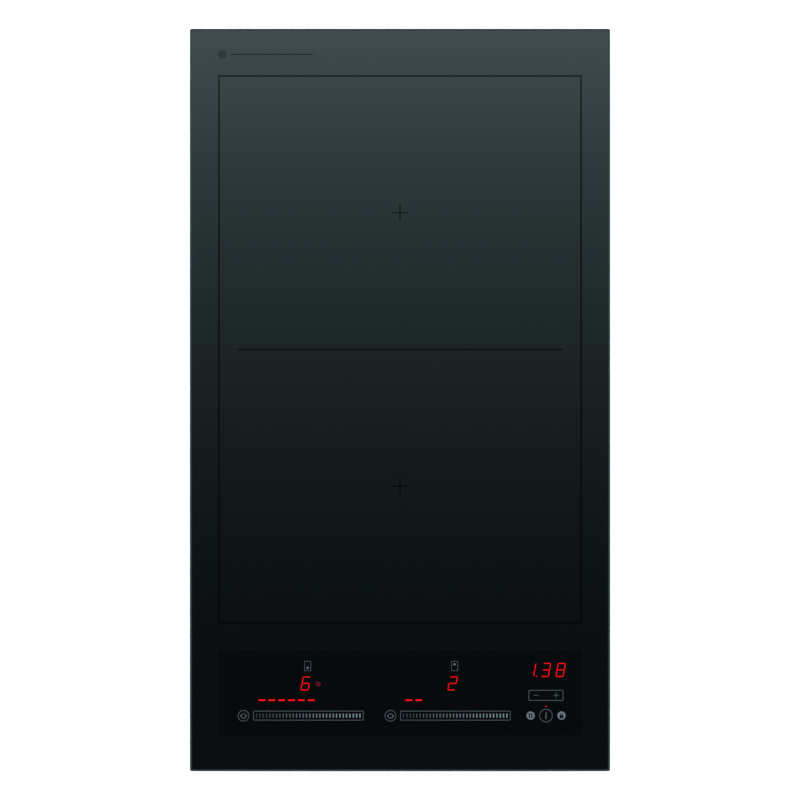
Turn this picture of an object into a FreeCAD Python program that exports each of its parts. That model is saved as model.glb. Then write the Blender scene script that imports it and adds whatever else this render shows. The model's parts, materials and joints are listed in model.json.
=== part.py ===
import FreeCAD, Part
import math
import os

# Two-zone built-in induction cooktop, 30 cm module. Millimetres, +Z up, +X to the
# user's right, +Y away from the user. The origin is under the middle of the chassis.

V = FreeCAD.Vector
X_AXIS = V(1, 0, 0)
Y_AXIS = V(0, 1, 0)
Z_AXIS = V(0, 0, 1)

# ---------------------------------------------------------------- driving dimensions
GLASS_W = 300.0
GLASS_D = 530.0
GLASS_T = 4.0
GLASS_CORNER_R = 2.0
GLASS_BEVEL = 0.9
TOTAL_H = 54.0

SEAL_T = 2.0
SEAL_W = 9.0
SEAL_INSET = 1.5

SHEET = 0.8
PAN_W = 264.0
PAN_LOWER_D = 430.0
PAN_UPPER_D = 486.0
PAN_STEP_Z = 20.0
PAN_TOP_Z = 47.5
BEND_R = 0.8

RAIL_T = 1.0
RAIL_LEG = 12.0
RAIL_GAP = 0.2
BEAD_W = 8.0
BEAD_T = 1.0

REAR_ZONE_Y = 133.5
FRONT_ZONE_Y = -61.5
COIL_W = 212.0
COIL_D = 176.0
COIL_EYE_W = 70.0
COIL_EYE_D = 44.0
COIL_CORNER_R = 56.0
COIL_TURNS = 17

CLAMP_X = 90.0
CLAMP_Y = 229.0
CLAMP_REACH = 34.0
CLAMP_W = 14.0
CLAMP_T = 1.5

GLAND_X = 25.0
GLAND_Z = 10.0
GLAND_BORE_R = 5.0

FAN_X = -70.0
FAN_Y = 150.0
FAN_R = 40.0
BLADE_COUNT = 30

# ------------------------------------------------------------------- derived heights
GLASS_Z = TOTAL_H - GLASS_T
SEAL_Z = GLASS_Z - SEAL_T
RAIL_Z = GLASS_Z - BEAD_T - RAIL_T
RAIL_LOW_Z = 36.0
PAN_X = PAN_W / 2
PAN_IN_X = PAN_X - SHEET
LOWER_Y = PAN_LOWER_D / 2
UPPER_Y = PAN_UPPER_D / 2
RAIL_X = PAN_IN_X - RAIL_GAP
RAIL_Y = UPPER_Y - SHEET - RAIL_GAP

PLATE_Z = 36.5
PLATE_T = 1.5
CARRIER_Z = PLATE_Z + PLATE_T
CARRIER_DECK_Z = 42.9
COIL_Z = 44.5
COIL_TOP_Z = 49.0
MICA_T = 0.8

BOARD_Z = 6.0
BOARD_T = 1.6
BOARD_TOP_Z = BOARD_Z + BOARD_T
BOARD_X = 118.0
BOARD_FRONT_Y = -155.0
BOARD_REAR_Y = 85.0

TRAY_X = 125.0
TRAY_FRONT_Y = -240.0
TRAY_REAR_Y = -172.0
TRAY_Z = 30.0
TRAY_TOP_Z = 47.0
CONTROL_Z = 40.0
CONTROL_TOP_Z = CONTROL_Z + BOARD_T

ZONES = {"rear": REAR_ZONE_Y, "front": FRONT_ZONE_Y}


# --------------------------------------------------------------------------- helpers
def box(x0, x1, y0, y1, z0, z1):
    """A block between two corners."""
    return Part.makeBox(x1 - x0, y1 - y0, z1 - z0, V(x0, y0, z0))


def rod(x, y, z0, z1, r):
    """An upright cylinder."""
    return Part.makeCylinder(r, z1 - z0, V(x, y, z0))


def ring(x, y, z0, z1, r_out, r_in):
    """An upright tube."""
    return rod(x, y, z0, z1, r_out).cut(rod(x, y, z0, z1, r_in))


def slab(cx, cy, w, d, r, z0, z1):
    """A plate with round corners."""
    x0 = cx - w / 2
    x1 = cx + w / 2
    y0 = cy - d / 2
    y1 = cy + d / 2
    corners = [(x1 - r, y0 + r, -90), (x1 - r, y1 - r, 0), (x0 + r, y1 - r, 90), (x0 + r, y0 + r, 180)]
    ends = []
    arcs = []
    for ax, ay, start in corners:
        arc = Part.makeCircle(r, V(ax, ay, z0), Z_AXIS, start, start + 90)
        arcs.append(arc)
        ends.append((arc.valueAt(arc.FirstParameter), arc.valueAt(arc.LastParameter)))
    edges = []
    for i, arc in enumerate(arcs):
        edges.append(arc)
        here = ends[i][1]
        there = ends[(i + 1) % 4][0]
        if here.distanceToPoint(there) > 1e-6:
            edges.append(Part.makeLine(here, there))
    face = Part.Face(Part.Wire(edges))
    return face.extrude(V(0, 0, z1 - z0))


def along_x(shape):
    """Turn an upright shape so that +Z becomes +X."""
    return shape.rotated(V(0, 0, 0), Y_AXIS, 90)


def along_y(shape):
    """Turn an upright shape so that +Z becomes +Y."""
    return shape.rotated(V(0, 0, 0), X_AXIS, -90)


def group(shapes):
    """Several separate solids in one node."""
    return Part.makeCompound(shapes)


def mirrored(shape, normal):
    """The shape's mirror image through the origin."""
    return shape.mirror(V(0, 0, 0), normal)


def fillet_long_edges(shape, r, places, axis):
    """Round the straight edges along one axis that pass through the given places."""
    chosen = []
    for edge in shape.Edges:
        a = edge.Vertexes[0].Point
        b = edge.Vertexes[-1].Point
        run = b - a
        if run.Length < 1 or abs(run.dot(axis)) < 0.999 * run.Length:
            continue
        for p in places:
            off = a - p
            if (off - axis * off.dot(axis)).Length < 1e-4:
                chosen.append(edge)
    return shape.makeFillet(r, chosen)


def top_edges(shape):
    """The edges that lie in the shape's highest plane."""
    top = shape.BoundBox.ZMax - 1e-4
    return [e for e in shape.Edges if min(v.Z for v in e.Vertexes) > top]


def bent_wire(points, r, bend_r):
    """A round wire along straight runs that are joined by tangent arcs."""
    edges = []
    last = V(*points[0])
    for i in range(1, len(points) - 1):
        corner = V(*points[i])
        before = (V(*points[i - 1]) - corner).normalize()
        after = (V(*points[i + 1]) - corner).normalize()
        half = before.getAngle(after) / 2
        reach = bend_r / math.tan(half)
        start = corner + before * reach
        end = corner + after * reach
        middle_way = (before + after).normalize()
        middle = corner + middle_way * (bend_r / math.sin(half) - bend_r)
        edges.append(Part.makeLine(last, start))
        edges.append(Part.Arc(start, middle, end).toShape())
        last = end
    edges.append(Part.makeLine(last, V(*points[-1])))
    path = Part.Wire(edges)
    run = (V(*points[1]) - V(*points[0])).normalize()
    section = Part.Face(Part.Wire(Part.makeCircle(r, V(*points[0]), run)))
    return path.makePipe(section)


def save(name, shape):
    """Write one node and report its solids and volume."""
    shape.exportStep("parts/" + name + ".step")
    state = "ok" if shape.isValid() else "NOT VALID"
    print(f"{name:26s} {len(shape.Solids):3d} solids {shape.Volume / 1000:9.2f} cm3 {state}")


# -------------------------------------------------------------------- top and bonding
def glass_top():
    """Glass-ceramic plate with small plan corners and a ground bevel all round."""
    plate = slab(0, 0, GLASS_W, GLASS_D, GLASS_CORNER_R, GLASS_Z, TOTAL_H)
    return plate.makeChamfer(GLASS_BEVEL, top_edges(plate))


def butt_frame(half_x, half_y, width, z0, z1):
    """Four strips laid as a frame: two long ones, two short ones between them."""
    strips = []
    for side in (-1, 1):
        x_in = side * (half_x - width)
        x_out = side * half_x
        y_in = side * (half_y - width)
        y_out = side * half_y
        strips.append(box(min(x_in, x_out), max(x_in, x_out), -half_y, half_y, z0, z1))
        strips.append(box(width - half_x, half_x - width, min(y_in, y_out), max(y_in, y_out), z0, z1))
    return group(strips)


def worktop_seal():
    """Self-adhesive foam strips that the glass rests on the worktop with."""
    return butt_frame(GLASS_W / 2 - SEAL_INSET, GLASS_D / 2 - SEAL_INSET, SEAL_W, SEAL_Z, GLASS_Z)


def adhesive_beads():
    """Silicone beads that bond the rails to the glass."""
    return butt_frame(RAIL_X - 2, RAIL_Y - 2, BEAD_W, GLASS_Z - BEAD_T, GLASS_Z)


# ---------------------------------------------------------- rails and their fasteners
SIDE_SCREW_Z = 42.0
SIDE_SCREW_R = 1.75
SIDE_SCREW_HOLE_R = 2.1
SIDE_SCREW_LEN = 2.8
SIDE_SCREW_YS = (-196.0, -98.0, 0.0, 98.0, 196.0)
END_SCREW_XS = (-96.0, 0.0, 96.0)


def wall_holes(r):
    """Cutters for the screws through the chassis walls and rails."""
    cutters = []
    for y in SIDE_SCREW_YS:
        bar = along_x(rod(0, 0, -PAN_X - 1, PAN_X + 1, r))
        bar.translate(V(0, y, SIDE_SCREW_Z))
        cutters.append(bar)
    for x in END_SCREW_XS:
        bar = along_y(rod(0, 0, -UPPER_Y - 1, UPPER_Y + 1, r))
        bar.translate(V(x, 0, SIDE_SCREW_Z))
        cutters.append(bar)
    return cutters


def support_rails():
    """Steel angles under the glass that the chassis hangs from."""
    rails = []
    side_y = RAIL_Y - RAIL_LEG - RAIL_GAP
    for s in (-1, 1):
        leg = box(RAIL_X - RAIL_LEG, RAIL_X, -side_y, side_y, RAIL_Z, RAIL_Z + RAIL_T)
        web = box(RAIL_X - RAIL_T, RAIL_X, -side_y, side_y, RAIL_LOW_Z, RAIL_Z)
        rail = leg.fuse(web).removeSplitter()
        rails.append(rail if s > 0 else mirrored(rail, X_AXIS))
        leg = box(-RAIL_X, RAIL_X, RAIL_Y - RAIL_LEG, RAIL_Y, RAIL_Z, RAIL_Z + RAIL_T)
        web = box(-RAIL_X, RAIL_X, RAIL_Y - RAIL_T, RAIL_Y, RAIL_LOW_Z, RAIL_Z)
        rail = leg.fuse(web).removeSplitter()
        rails.append(rail if s > 0 else mirrored(rail, Y_AXIS))
    holes = wall_holes(SIDE_SCREW_R)
    return group([rail.cut(holes) for rail in rails])


def pan_head_screw(shank_r, length, head_r, head_h):
    """Cross-recess screw: shank along -Z from the origin, head above it."""
    head = rod(0, 0, 0, head_h, head_r)
    head = head.makeFillet(head_h * 0.45, top_edges(head))
    slot_w = head_r * 0.3
    slot_l = head_r * 0.62
    cross = box(-slot_l, slot_l, -slot_w / 2, slot_w / 2, head_h * 0.45, head_h + 1)
    cross = cross.fuse(box(-slot_w / 2, slot_w / 2, -slot_l, slot_l, head_h * 0.45, head_h + 1))
    return head.cut(cross).fuse(rod(0, 0, -length, 0, shank_r)).removeSplitter()


def side_screws():
    """Screws through the chassis walls into the rails."""
    screw = pan_head_screw(SIDE_SCREW_R, SIDE_SCREW_LEN, 3.6, 1.5)
    right = along_x(screw)
    rear = along_y(screw)
    screws = []
    for y in SIDE_SCREW_YS:
        one = right.translated(V(PAN_X, y, SIDE_SCREW_Z))
        screws += [one, mirrored(one, X_AXIS)]
    for x in END_SCREW_XS:
        one = rear.translated(V(x, UPPER_Y, SIDE_SCREW_Z))
        screws += [one, mirrored(one, Y_AXIS)]
    return group(screws)


# ----------------------------------------------------------------------------- chassis
RIVET_R = 1.6
RIVET_HEAD_R = 3.2
RIVET_HEAD_H = 1.0
RIVET_TAIL_R = 2.4
LOWER_TAB_Y = 209.0
LOWER_TAB_Z = 10.5
UPPER_TAB_Y = 237.0
UPPER_TAB_Z = 29.0
FLOOR_RIVET_XS = (-108.0, -40.0, 60.0, 108.0)
INTAKE_R = 41.0
SIDE_VENT_YS = (-40.0, 150.0)
SIDE_VENTS = 14
SIDE_VENT_PITCH = 6.5
SIDE_VENT_W = 2.6
SIDE_VENT_Z = (8.0, 24.0)
END_VENTS = 25
END_VENT_PITCH = 7.0
END_VENT_W = 2.8
EXHAUST_Z = (4.0, 16.0)
REAR_VENT_Z = (24.0, 34.0)
FLOOR_BEAD_X = 30.0
FLOOR_BEAD_Y = -50.0
FLOOR_BEAD_W = 150.0
FLOOR_BEAD_D = 250.0
FLOOR_BEAD_R = 12.0
FLOOR_BEAD_LINE = 6.0
FLOOR_BEAD_H = 1.2


def side_rivet_places():
    """Where the end plates' tabs are riveted to the side walls, on the +X side."""
    tabs = ((LOWER_TAB_Y, LOWER_TAB_Z), (UPPER_TAB_Y, UPPER_TAB_Z))
    return [(y * s, z) for y, z in tabs for s in (-1, 1)]


def rivet_cutters():
    """Holes for every rivet of the chassis."""
    cutters = []
    for y, z in side_rivet_places():
        bar = along_x(rod(0, 0, -PAN_X - 1, PAN_X + 1, RIVET_R))
        cutters.append(bar.translated(V(0, y, z)))
    for x in FLOOR_RIVET_XS:
        for s in (-1, 1):
            cutters.append(rod(x, s * LOWER_TAB_Y, -1, 3, RIVET_R))
    return cutters


def upright_slots(count, pitch, width, z0, z1):
    """A centred row of round-ended slots in a wall that faces X, as cutters."""
    slots = []
    height = z1 - z0
    for i in range(count):
        y = (i - (count - 1) / 2) * pitch
        one = slab(0, 0, height, width, width / 2 - 0.01, -2, 2)
        slots.append(along_x(one).translated(V(0, y, (z0 + z1) / 2)))
    return slots


def stepped_block(half_x, grow_z):
    """The chassis' stepped side outline, extruded across the width."""
    low = -grow_z
    points = [(-LOWER_Y, low), (LOWER_Y, low), (LOWER_Y, PAN_STEP_Z), (UPPER_Y, PAN_STEP_Z)]
    points += [(UPPER_Y, PAN_TOP_Z), (-UPPER_Y, PAN_TOP_Z)]
    points += [(-UPPER_Y, PAN_STEP_Z), (-LOWER_Y, PAN_STEP_Z)]
    outline = Part.makePolygon([V(-half_x, y, z) for y, z in points + points[:1]])
    return Part.Face(outline).extrude(V(2 * half_x, 0, 0))


def floor_bead(inset, z0, z1):
    """The stiffening bead pressed into the floor: a rounded frame, inset on both edges."""
    w = FLOOR_BEAD_W - 2 * inset
    d = FLOOR_BEAD_D - 2 * inset
    narrow = 2 * (FLOOR_BEAD_LINE - 2 * inset)
    inner_r = FLOOR_BEAD_R - FLOOR_BEAD_LINE + inset
    outer = slab(FLOOR_BEAD_X, FLOOR_BEAD_Y, w, d, FLOOR_BEAD_R - inset, z0, z1)
    return outer.cut(slab(FLOOR_BEAD_X, FLOOR_BEAD_Y, w - narrow, d - narrow, inner_r, z0 - 1, z1 + 1))


def base_pan():
    """Folded channel: the floor and both stepped side walls."""
    pan = stepped_block(PAN_X, 0)
    pan = fillet_long_edges(pan, BEND_R + SHEET, [V(PAN_X, 0, 0), V(-PAN_X, 0, 0)], Y_AXIS)
    inside = box(-PAN_IN_X, PAN_IN_X, -UPPER_Y - 1, UPPER_Y + 1, SHEET, PAN_TOP_Z + 1)
    low = [V(PAN_IN_X, 0, SHEET), V(-PAN_IN_X, 0, SHEET)]
    pan = pan.cut(fillet_long_edges(inside, BEND_R, low, Y_AXIS))
    pan = pan.cut([rod(FAN_X, FAN_Y, -1, SHEET + 1, INTAKE_R)] + wall_holes(SIDE_SCREW_HOLE_R))
    vents = []
    for y in SIDE_VENT_YS:
        for slot in upright_slots(SIDE_VENTS, SIDE_VENT_PITCH, SIDE_VENT_W, *SIDE_VENT_Z):
            vents += [slot.translated(V(PAN_X, y, 0)), slot.translated(V(-PAN_X, y, 0))]
    pan = pan.cut(vents + rivet_cutters())
    raised = floor_bead(0, SHEET / 2, SHEET + FLOOR_BEAD_H)
    groove = floor_bead(SHEET, -1, FLOOR_BEAD_H)
    return pan.fuse(raised).cut(groove).removeSplitter()


def end_plate(slots_z, pan):
    """Rear end plate: foot flange, riser, step shelf, end wall and riveted side tabs."""
    t = SHEET
    y_low = LOWER_Y
    y_up = UPPER_Y
    foot = LOWER_TAB_Y - 5
    points = [(foot, t), (y_low, t), (y_low, PAN_STEP_Z), (y_up, PAN_STEP_Z), (y_up, PAN_TOP_Z)]
    points += [(y_up - t, PAN_TOP_Z), (y_up - t, PAN_STEP_Z + t), (y_low - t, PAN_STEP_Z + t)]
    points += [(y_low - t, 2 * t), (foot, 2 * t)]
    outline = Part.makePolygon([V(-PAN_IN_X, y, z) for y, z in points + points[:1]])
    plate = Part.Face(outline).extrude(V(2 * PAN_IN_X, 0, 0))
    outer = [V(0, y_up, PAN_STEP_Z), V(0, y_low - t, PAN_STEP_Z + t)]
    inner = [V(0, y_up - t, PAN_STEP_Z + t), V(0, y_low, PAN_STEP_Z)]
    plate = fillet_long_edges(plate, BEND_R + t, outer, X_AXIS)
    plate = fillet_long_edges(plate, BEND_R, inner, X_AXIS)
    tabs = []
    for s in (-1, 1):
        x0 = min(s * PAN_IN_X, s * (PAN_IN_X - t))
        tabs.append(box(x0, x0 + t, LOWER_TAB_Y - 5, y_low - t, 3, 18))
        tabs.append(box(x0, x0 + t, UPPER_TAB_Y - 5, y_up - t, 23, 35))
    plate = plate.multiFuse(tabs)
    cutters = wall_holes(SIDE_SCREW_HOLE_R) + rivet_cutters()
    cutters += [rod(s * CLAMP_X, CLAMP_Y, PAN_STEP_Z - 1, PAN_STEP_Z + 2, NUT_R) for s in (-1, 1)]
    for slot in upright_slots(END_VENTS, END_VENT_PITCH, END_VENT_W, *slots_z):
        turned = slot.rotated(V(0, 0, 0), Z_AXIS, 90)
        cutters.append(turned.translated(V(0, y_low if slots_z[1] < PAN_STEP_Z else y_up, 0)))
    return plate.cut(cutters).cut(pan).removeSplitter()


def front_end_plate(pan):
    """Front end plate, with the exhaust slots low in its riser."""
    return mirrored(end_plate(EXHAUST_Z, pan), Y_AXIS)


def rear_end_plate(pan):
    """Rear end plate, with vents in its upper wall and the hole for the mains gland."""
    plate = end_plate(REAR_VENT_Z, pan)
    hole = along_y(rod(0, 0, LOWER_Y - 5, LOWER_Y + 5, GLAND_THREAD_R))
    return plate.cut(hole.translated(V(GLAND_X, 0, GLAND_Z)))


def pan_rivets():
    """Blind rivets: domed heads outside on the walls, heads inside on the floor."""
    head = rod(0, 0, 0, RIVET_HEAD_H, RIVET_HEAD_R)
    head = head.makeFillet(0.6, top_edges(head))
    shank = rod(0, 0, -2 * SHEET - 1, 0, RIVET_R).fuse(rod(0, 0, -2 * SHEET - 1, -2 * SHEET, RIVET_TAIL_R))
    side = along_x(head.fuse(shank).removeSplitter())
    rivets = []
    for y, z in side_rivet_places():
        one = side.translated(V(PAN_X, y, z))
        rivets += [one, mirrored(one, X_AXIS)]
    for x in FLOOR_RIVET_XS:
        for s in (-1, 1):
            one = rod(0, 0, 0, 2 * SHEET, RIVET_R).fuse(rod(0, 0, 2 * SHEET, 2 * SHEET + 1, RIVET_HEAD_R))
            rivets.append(one.removeSplitter().translated(V(x, s * LOWER_TAB_Y, 0)))
    return group(rivets)


# ------------------------------------------------------------------- worktop clamping
NUT_R = 3.0
NUT_COLLAR_R = 4.6
CLAMP_GAP = 0.3
CLAMP_Z = 16.5
CLAMP_HOLE_R = 2.2
TOOTH_T = 1.5
TOOTH_H = 1.4
M4_R = 1.9


def four_corners():
    """The clamps' pivots, in the order front left, front right, rear left, rear right."""
    return [(sx * CLAMP_X, sy * CLAMP_Y) for sy in (-1, 1) for sx in (-1, 1)]


def clamp_rivet_nuts():
    """Threaded rivet nuts in the step shelves, with a collar that spaces the clamp."""
    nuts = []
    for x, y in four_corners():
        nut = rod(x, y, PAN_STEP_Z, 29, NUT_R)
        nut = nut.fuse(rod(x, y, CLAMP_Z + CLAMP_T + CLAMP_GAP, PAN_STEP_Z, NUT_COLLAR_R))
        nut = nut.fuse(rod(x, y, PAN_STEP_Z + SHEET, PAN_STEP_Z + SHEET + 2, NUT_R + 0.8)).removeSplitter()
        nuts.append(nut.cut(rod(x, y, PAN_STEP_Z - 5, 30, M4_R)))
    return group(nuts)


def clamp_screws():
    """Screws that the clamps turn on and are tightened with."""
    screw = pan_head_screw(M4_R, 12, 3.8, 2.6).rotated(V(0, 0, 0), X_AXIS, 180)
    return group([screw.translated(V(x, y, CLAMP_Z - CLAMP_GAP)) for x, y in four_corners()])


def swing_clamp(x, y):
    """Flat steel bar with an upturned tooth, stowed along X towards the middle."""
    toward = -1 if x > 0 else 1
    arm = slab(toward * CLAMP_REACH / 2, 0, CLAMP_REACH + CLAMP_W / 2, CLAMP_W, 5.5, 0, CLAMP_T)
    arm = arm.translated(V(-toward * CLAMP_W / 4, 0, 0))
    tip = toward * CLAMP_REACH
    x0 = min(tip, tip - toward * TOOTH_T)
    arm = arm.fuse(box(x0, x0 + TOOTH_T, -TOOTH_T, TOOTH_T, 0, CLAMP_T + TOOTH_H))
    rib = slab(toward * CLAMP_REACH * 0.52, 0, 18, 3.4, 1.6, -0.7, 0.2)
    arm = arm.fuse(rib).removeSplitter()
    return arm.cut(rod(0, 0, -2, CLAMP_T + 2, CLAMP_HOLE_R)).translated(V(x, y, CLAMP_Z))


# ------------------------------------------------------------------ intake and mains
GLAND_THREAD_R = 6.6
GLAND_FLANGE_R = 9.0
GLAND_FLANGE_T = 5.0
GLAND_DOME_L = 12.0
GLAND_CAP_R = 8.3
GLAND_RIBS = 18
LOCKNUT_R = 9.2
LOCKNUT_T = 3.6
GUARD_EYE_R = 6.0
GUARD_PITCH = 7.4
GUARD_GAP = 5.0


def intake_grille():
    """Finger guard over the air intake: rings held by six spokes."""
    z0 = SHEET
    z1 = SHEET + 1.0
    guard = rod(FAN_X, FAN_Y, z0, z1, INTAKE_R + 4)
    inner_rs = [GUARD_EYE_R + GUARD_PITCH * k for k in range(5)]
    gaps = [ring(FAN_X, FAN_Y, z0 - 1, z1 + 1, r + GUARD_GAP, r) for r in inner_rs]
    spokes = []
    for k in range(3):
        spoke = box(-INTAKE_R - 1, INTAKE_R + 1, -1.3, 1.3, z0 - 1, z1 + 1)
        spokes.append(spoke.rotated(V(0, 0, 0), Z_AXIS, 60 * k).translated(V(FAN_X, FAN_Y, 0)))
    return guard.cut([gap.cut(spokes) for gap in gaps])


def hexagon(r, z0, z1):
    """An upright hexagonal block on the Z axis, by its corner radius."""
    corners = [V(r * math.cos(k * math.pi / 3), r * math.sin(k * math.pi / 3), z0) for k in range(7)]
    return Part.Face(Part.makePolygon(corners)).extrude(V(0, 0, z1 - z0))


def cable_gland():
    """Clamping gland in the rear riser: thread inside, hexagon and ribbed dome outside."""
    z1 = GLAND_FLANGE_T
    body = rod(0, 0, -12, 0, GLAND_THREAD_R).fuse(hexagon(GLAND_FLANGE_R, 0, z1))
    body = body.fuse(Part.makeCone(8.0, GLAND_THREAD_R, GLAND_DOME_L, V(0, 0, z1)))
    body = body.fuse(rod(0, 0, z1, z1 + 4, GLAND_CAP_R))
    angles = [k * 2 * math.pi / GLAND_RIBS for k in range(GLAND_RIBS)]
    ribs = [rod(GLAND_CAP_R * math.cos(a), GLAND_CAP_R * math.sin(a), z1, z1 + 4, 0.6) for a in angles]
    body = body.multiFuse(ribs).removeSplitter()
    body = body.cut(rod(0, 0, -13, z1 + GLAND_DOME_L + 1, GLAND_BORE_R))
    return along_y(body).translated(V(GLAND_X, LOWER_Y, GLAND_Z))


def gland_locknut():
    """Flat nut that holds the gland from inside."""
    nut = hexagon(LOCKNUT_R, 0, LOCKNUT_T).cut(rod(0, 0, -1, LOCKNUT_T + 1, GLAND_THREAD_R))
    return along_y(nut).translated(V(GLAND_X, LOWER_Y - SHEET - LOCKNUT_T, GLAND_Z))


TERMINAL_X = 40.0
TERMINAL_Y = 182.0
TERMINAL_POLES = 5
TERMINAL_PITCH = 11.0
TERMINAL_TOP_Z = 18.0
TERMINAL_WIRE_Z = 6.0


def terminal_block():
    """Five-pole mains terminal block with a screw well and two wire holes per pole."""
    half = TERMINAL_POLES * TERMINAL_PITCH / 2 + 2
    x0 = TERMINAL_X - half
    x1 = TERMINAL_X + half
    top = TERMINAL_TOP_Z
    block = box(x0, x1, TERMINAL_Y - 11, TERMINAL_Y + 11, SHEET, top)
    cutters = [box(x0 - 1, x1 + 1, TERMINAL_Y + 6, TERMINAL_Y + 12, top - 5, top + 1)]
    for x in terminal_xs():
        cutters.append(rod(x, TERMINAL_Y - 1, top / 2, top + 1, 3.2))
        hole = along_y(rod(0, 0, TERMINAL_Y - 12, TERMINAL_Y + 12, 2.2))
        cutters.append(hole.translated(V(x, 0, TERMINAL_WIRE_Z)))
    return block.cut(cutters)


def terminal_xs():
    """The poles' places along the terminal block."""
    middle = (TERMINAL_POLES - 1) / 2
    return [TERMINAL_X + (k - middle) * TERMINAL_PITCH for k in range(TERMINAL_POLES)]


# ------------------------------------------------------------- coil plate and its posts
POST_R = 4.0
POST_PLACES = [(s * 125.0, y) for y in (-160.0, 20.0, 200.0) for s in (-1, 1)]
LEAD_X = -115.0
LEAD_R = 1.8
LEAD_PITCH = 10.0
LEAD_DY = -45.0
LEAD_LOW_Z = 13.0
LEAD_HOLE_R = 3.2
SENSOR_HOLE_R = 5.0
PLATE_FRONT_Y = -165.0
PLATE_REAR_Y = 228.0
M3_R = 1.5


def lead_ys(zone_y):
    """The two places where a coil's leads go down through the plate."""
    return (zone_y + LEAD_DY - LEAD_PITCH / 2, zone_y + LEAD_DY + LEAD_PITCH / 2)


def coil_plate():
    """Aluminium plate that carries both coils and screens the electronics."""
    depth = PLATE_REAR_Y - PLATE_FRONT_Y
    middle = (PLATE_REAR_Y + PLATE_FRONT_Y) / 2
    plate = slab(0, middle, 2 * (RAIL_X - 1.6), depth, 4, PLATE_Z, PLATE_Z + PLATE_T)
    holes = [(x, y, M3_R) for x, y in POST_PLACES]
    for zone_y in ZONES.values():
        holes.append((0, zone_y, SENSOR_HOLE_R))
        holes += [(LEAD_X, y, LEAD_HOLE_R) for y in lead_ys(zone_y)]
        holes += [(x, zone_y + y, M3_R) for x, y in LUG_PLACES]
    return plate.cut([rod(x, y, PLATE_Z - 1, CARRIER_Z + 1, r) for x, y, r in holes])


def coil_posts():
    """Posts on the chassis floor that the coil plate is screwed to."""
    posts = []
    for x, y in POST_PLACES:
        post = rod(x, y, SHEET, PLATE_Z, POST_R)
        posts.append(post.cut(rod(x, y, PLATE_Z - 12, PLATE_Z + 1, M3_R)))
    return group(posts)


def coil_plate_screws():
    """Screws through the plate into the posts, and through the carriers' lugs into the plate."""
    post_screw = pan_head_screw(M3_R, 8, 3.0, 2.0)
    screws = [post_screw.translated(V(x, y, CARRIER_Z)) for x, y in POST_PLACES]
    lug_screw = pan_head_screw(M3_R, LUG_H + PLATE_T + 0.8, 3.0, 2.0)
    for zone_y in ZONES.values():
        screws += [lug_screw.translated(V(x, zone_y + y, CARRIER_Z + LUG_H)) for x, y in LUG_PLACES]
    return group(screws)


# -------------------------------------------------------------------------------- coils
CARRIER_EDGE = 3.0
LUG_R = 6.0
LUG_H = 3.0
LUG_PLACES = [(sx * 95.0, sy * 77.0) for sx in (-1, 1) for sy in (-1, 1)]
FERRITE_COUNT = 8
FERRITE_START = 38.0
FERRITE_L = 46.0
FERRITE_W = 14.0
SENSOR_CAP_R = 7.0
SENSOR_STEM_R = 2.2
SENSOR_BORE_R = 2.5
SENSOR_CUP_Z = 40.0
SENSOR_CUP_R = 6.2
SENSOR_CAP_Z = 46.5
SENSOR_TOP_Z = GLASS_Z - 0.1
SPRING_R = 4.2
SPRING_WIRE_R = 0.5
SPRING_TURNS = 3
SPRING_BENDS = 8


def ferrite_angles():
    """Directions of the ferrite bars round a coil's centre, in degrees."""
    return [22.5 + k * 360 / FERRITE_COUNT for k in range(FERRITE_COUNT)]


def ferrite_block(angle, grow, z0, z1):
    """A ferrite bar's outline, grown on all sides, between two heights."""
    reach = FERRITE_START + FERRITE_L
    half = FERRITE_W / 2 + grow
    return box(FERRITE_START - grow, reach + grow, -half, half, z0, z1).rotated(V(0, 0, 0), Z_AXIS, angle)


def coil_carrier(zone_y):
    """Moulded carrier: deck for the winding, ferrite pockets below, sensor cup in the middle."""
    w = COIL_W + 2 * CARRIER_EDGE
    d = COIL_D + 2 * CARRIER_EDGE
    r = COIL_CORNER_R + CARRIER_EDGE
    carrier = slab(0, 0, w, d, r, CARRIER_DECK_Z, COIL_Z)
    rim = slab(0, 0, w, d, r, CARRIER_Z, COIL_Z + 1.5)
    carrier = carrier.fuse(rim.cut(slab(0, 0, w - 4, d - 4, r - 2, CARRIER_Z - 1, COIL_Z + 2)))
    inside = slab(0, 0, w - 1, d - 1, r - 0.5, CARRIER_Z, COIL_Z)
    pockets = []
    for angle in ferrite_angles():
        wall = ferrite_block(angle, 1.6, CARRIER_Z, CARRIER_DECK_Z + 0.5)
        hollow = ferrite_block(angle, 0.15, CARRIER_Z - 1, CARRIER_DECK_Z)
        pockets.append(wall.cut(hollow).common(inside))
    carrier = carrier.multiFuse(pockets)
    lugs = [ring(x, y, CARRIER_Z, CARRIER_Z + LUG_H, LUG_R, M3_R) for x, y in LUG_PLACES]
    outside = slab(0, 0, w - 3, d - 3, r - 1.5, CARRIER_Z - 1, COIL_Z)
    carrier = carrier.multiFuse([lug.cut(outside) for lug in lugs])
    carrier = carrier.fuse(rod(0, 0, CARRIER_Z, COIL_Z, SENSOR_CUP_R + 2.3))
    cup = rod(0, 0, SENSOR_CUP_Z, COIL_Z + 1, SENSOR_CUP_R)
    carrier = carrier.cut([cup, rod(0, 0, CARRIER_Z - 1, COIL_Z, SENSOR_BORE_R)])
    gate_half = LEAD_PITCH + 1
    gate = box(-w / 2 - 1, -w / 2 + 4, LEAD_DY - gate_half, LEAD_DY + gate_half, COIL_Z, COIL_Z + 3)
    return carrier.cut(gate).removeSplitter().translated(V(0, zone_y, 0))


def coil_ferrites(zone_y):
    """Ferrite bars that lead the field back under the winding."""
    bars = [ferrite_block(a, 0, CARRIER_Z + 0.2, CARRIER_DECK_Z - 0.2) for a in ferrite_angles()]
    return group([bar.translated(V(0, zone_y, 0)) for bar in bars])


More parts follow.
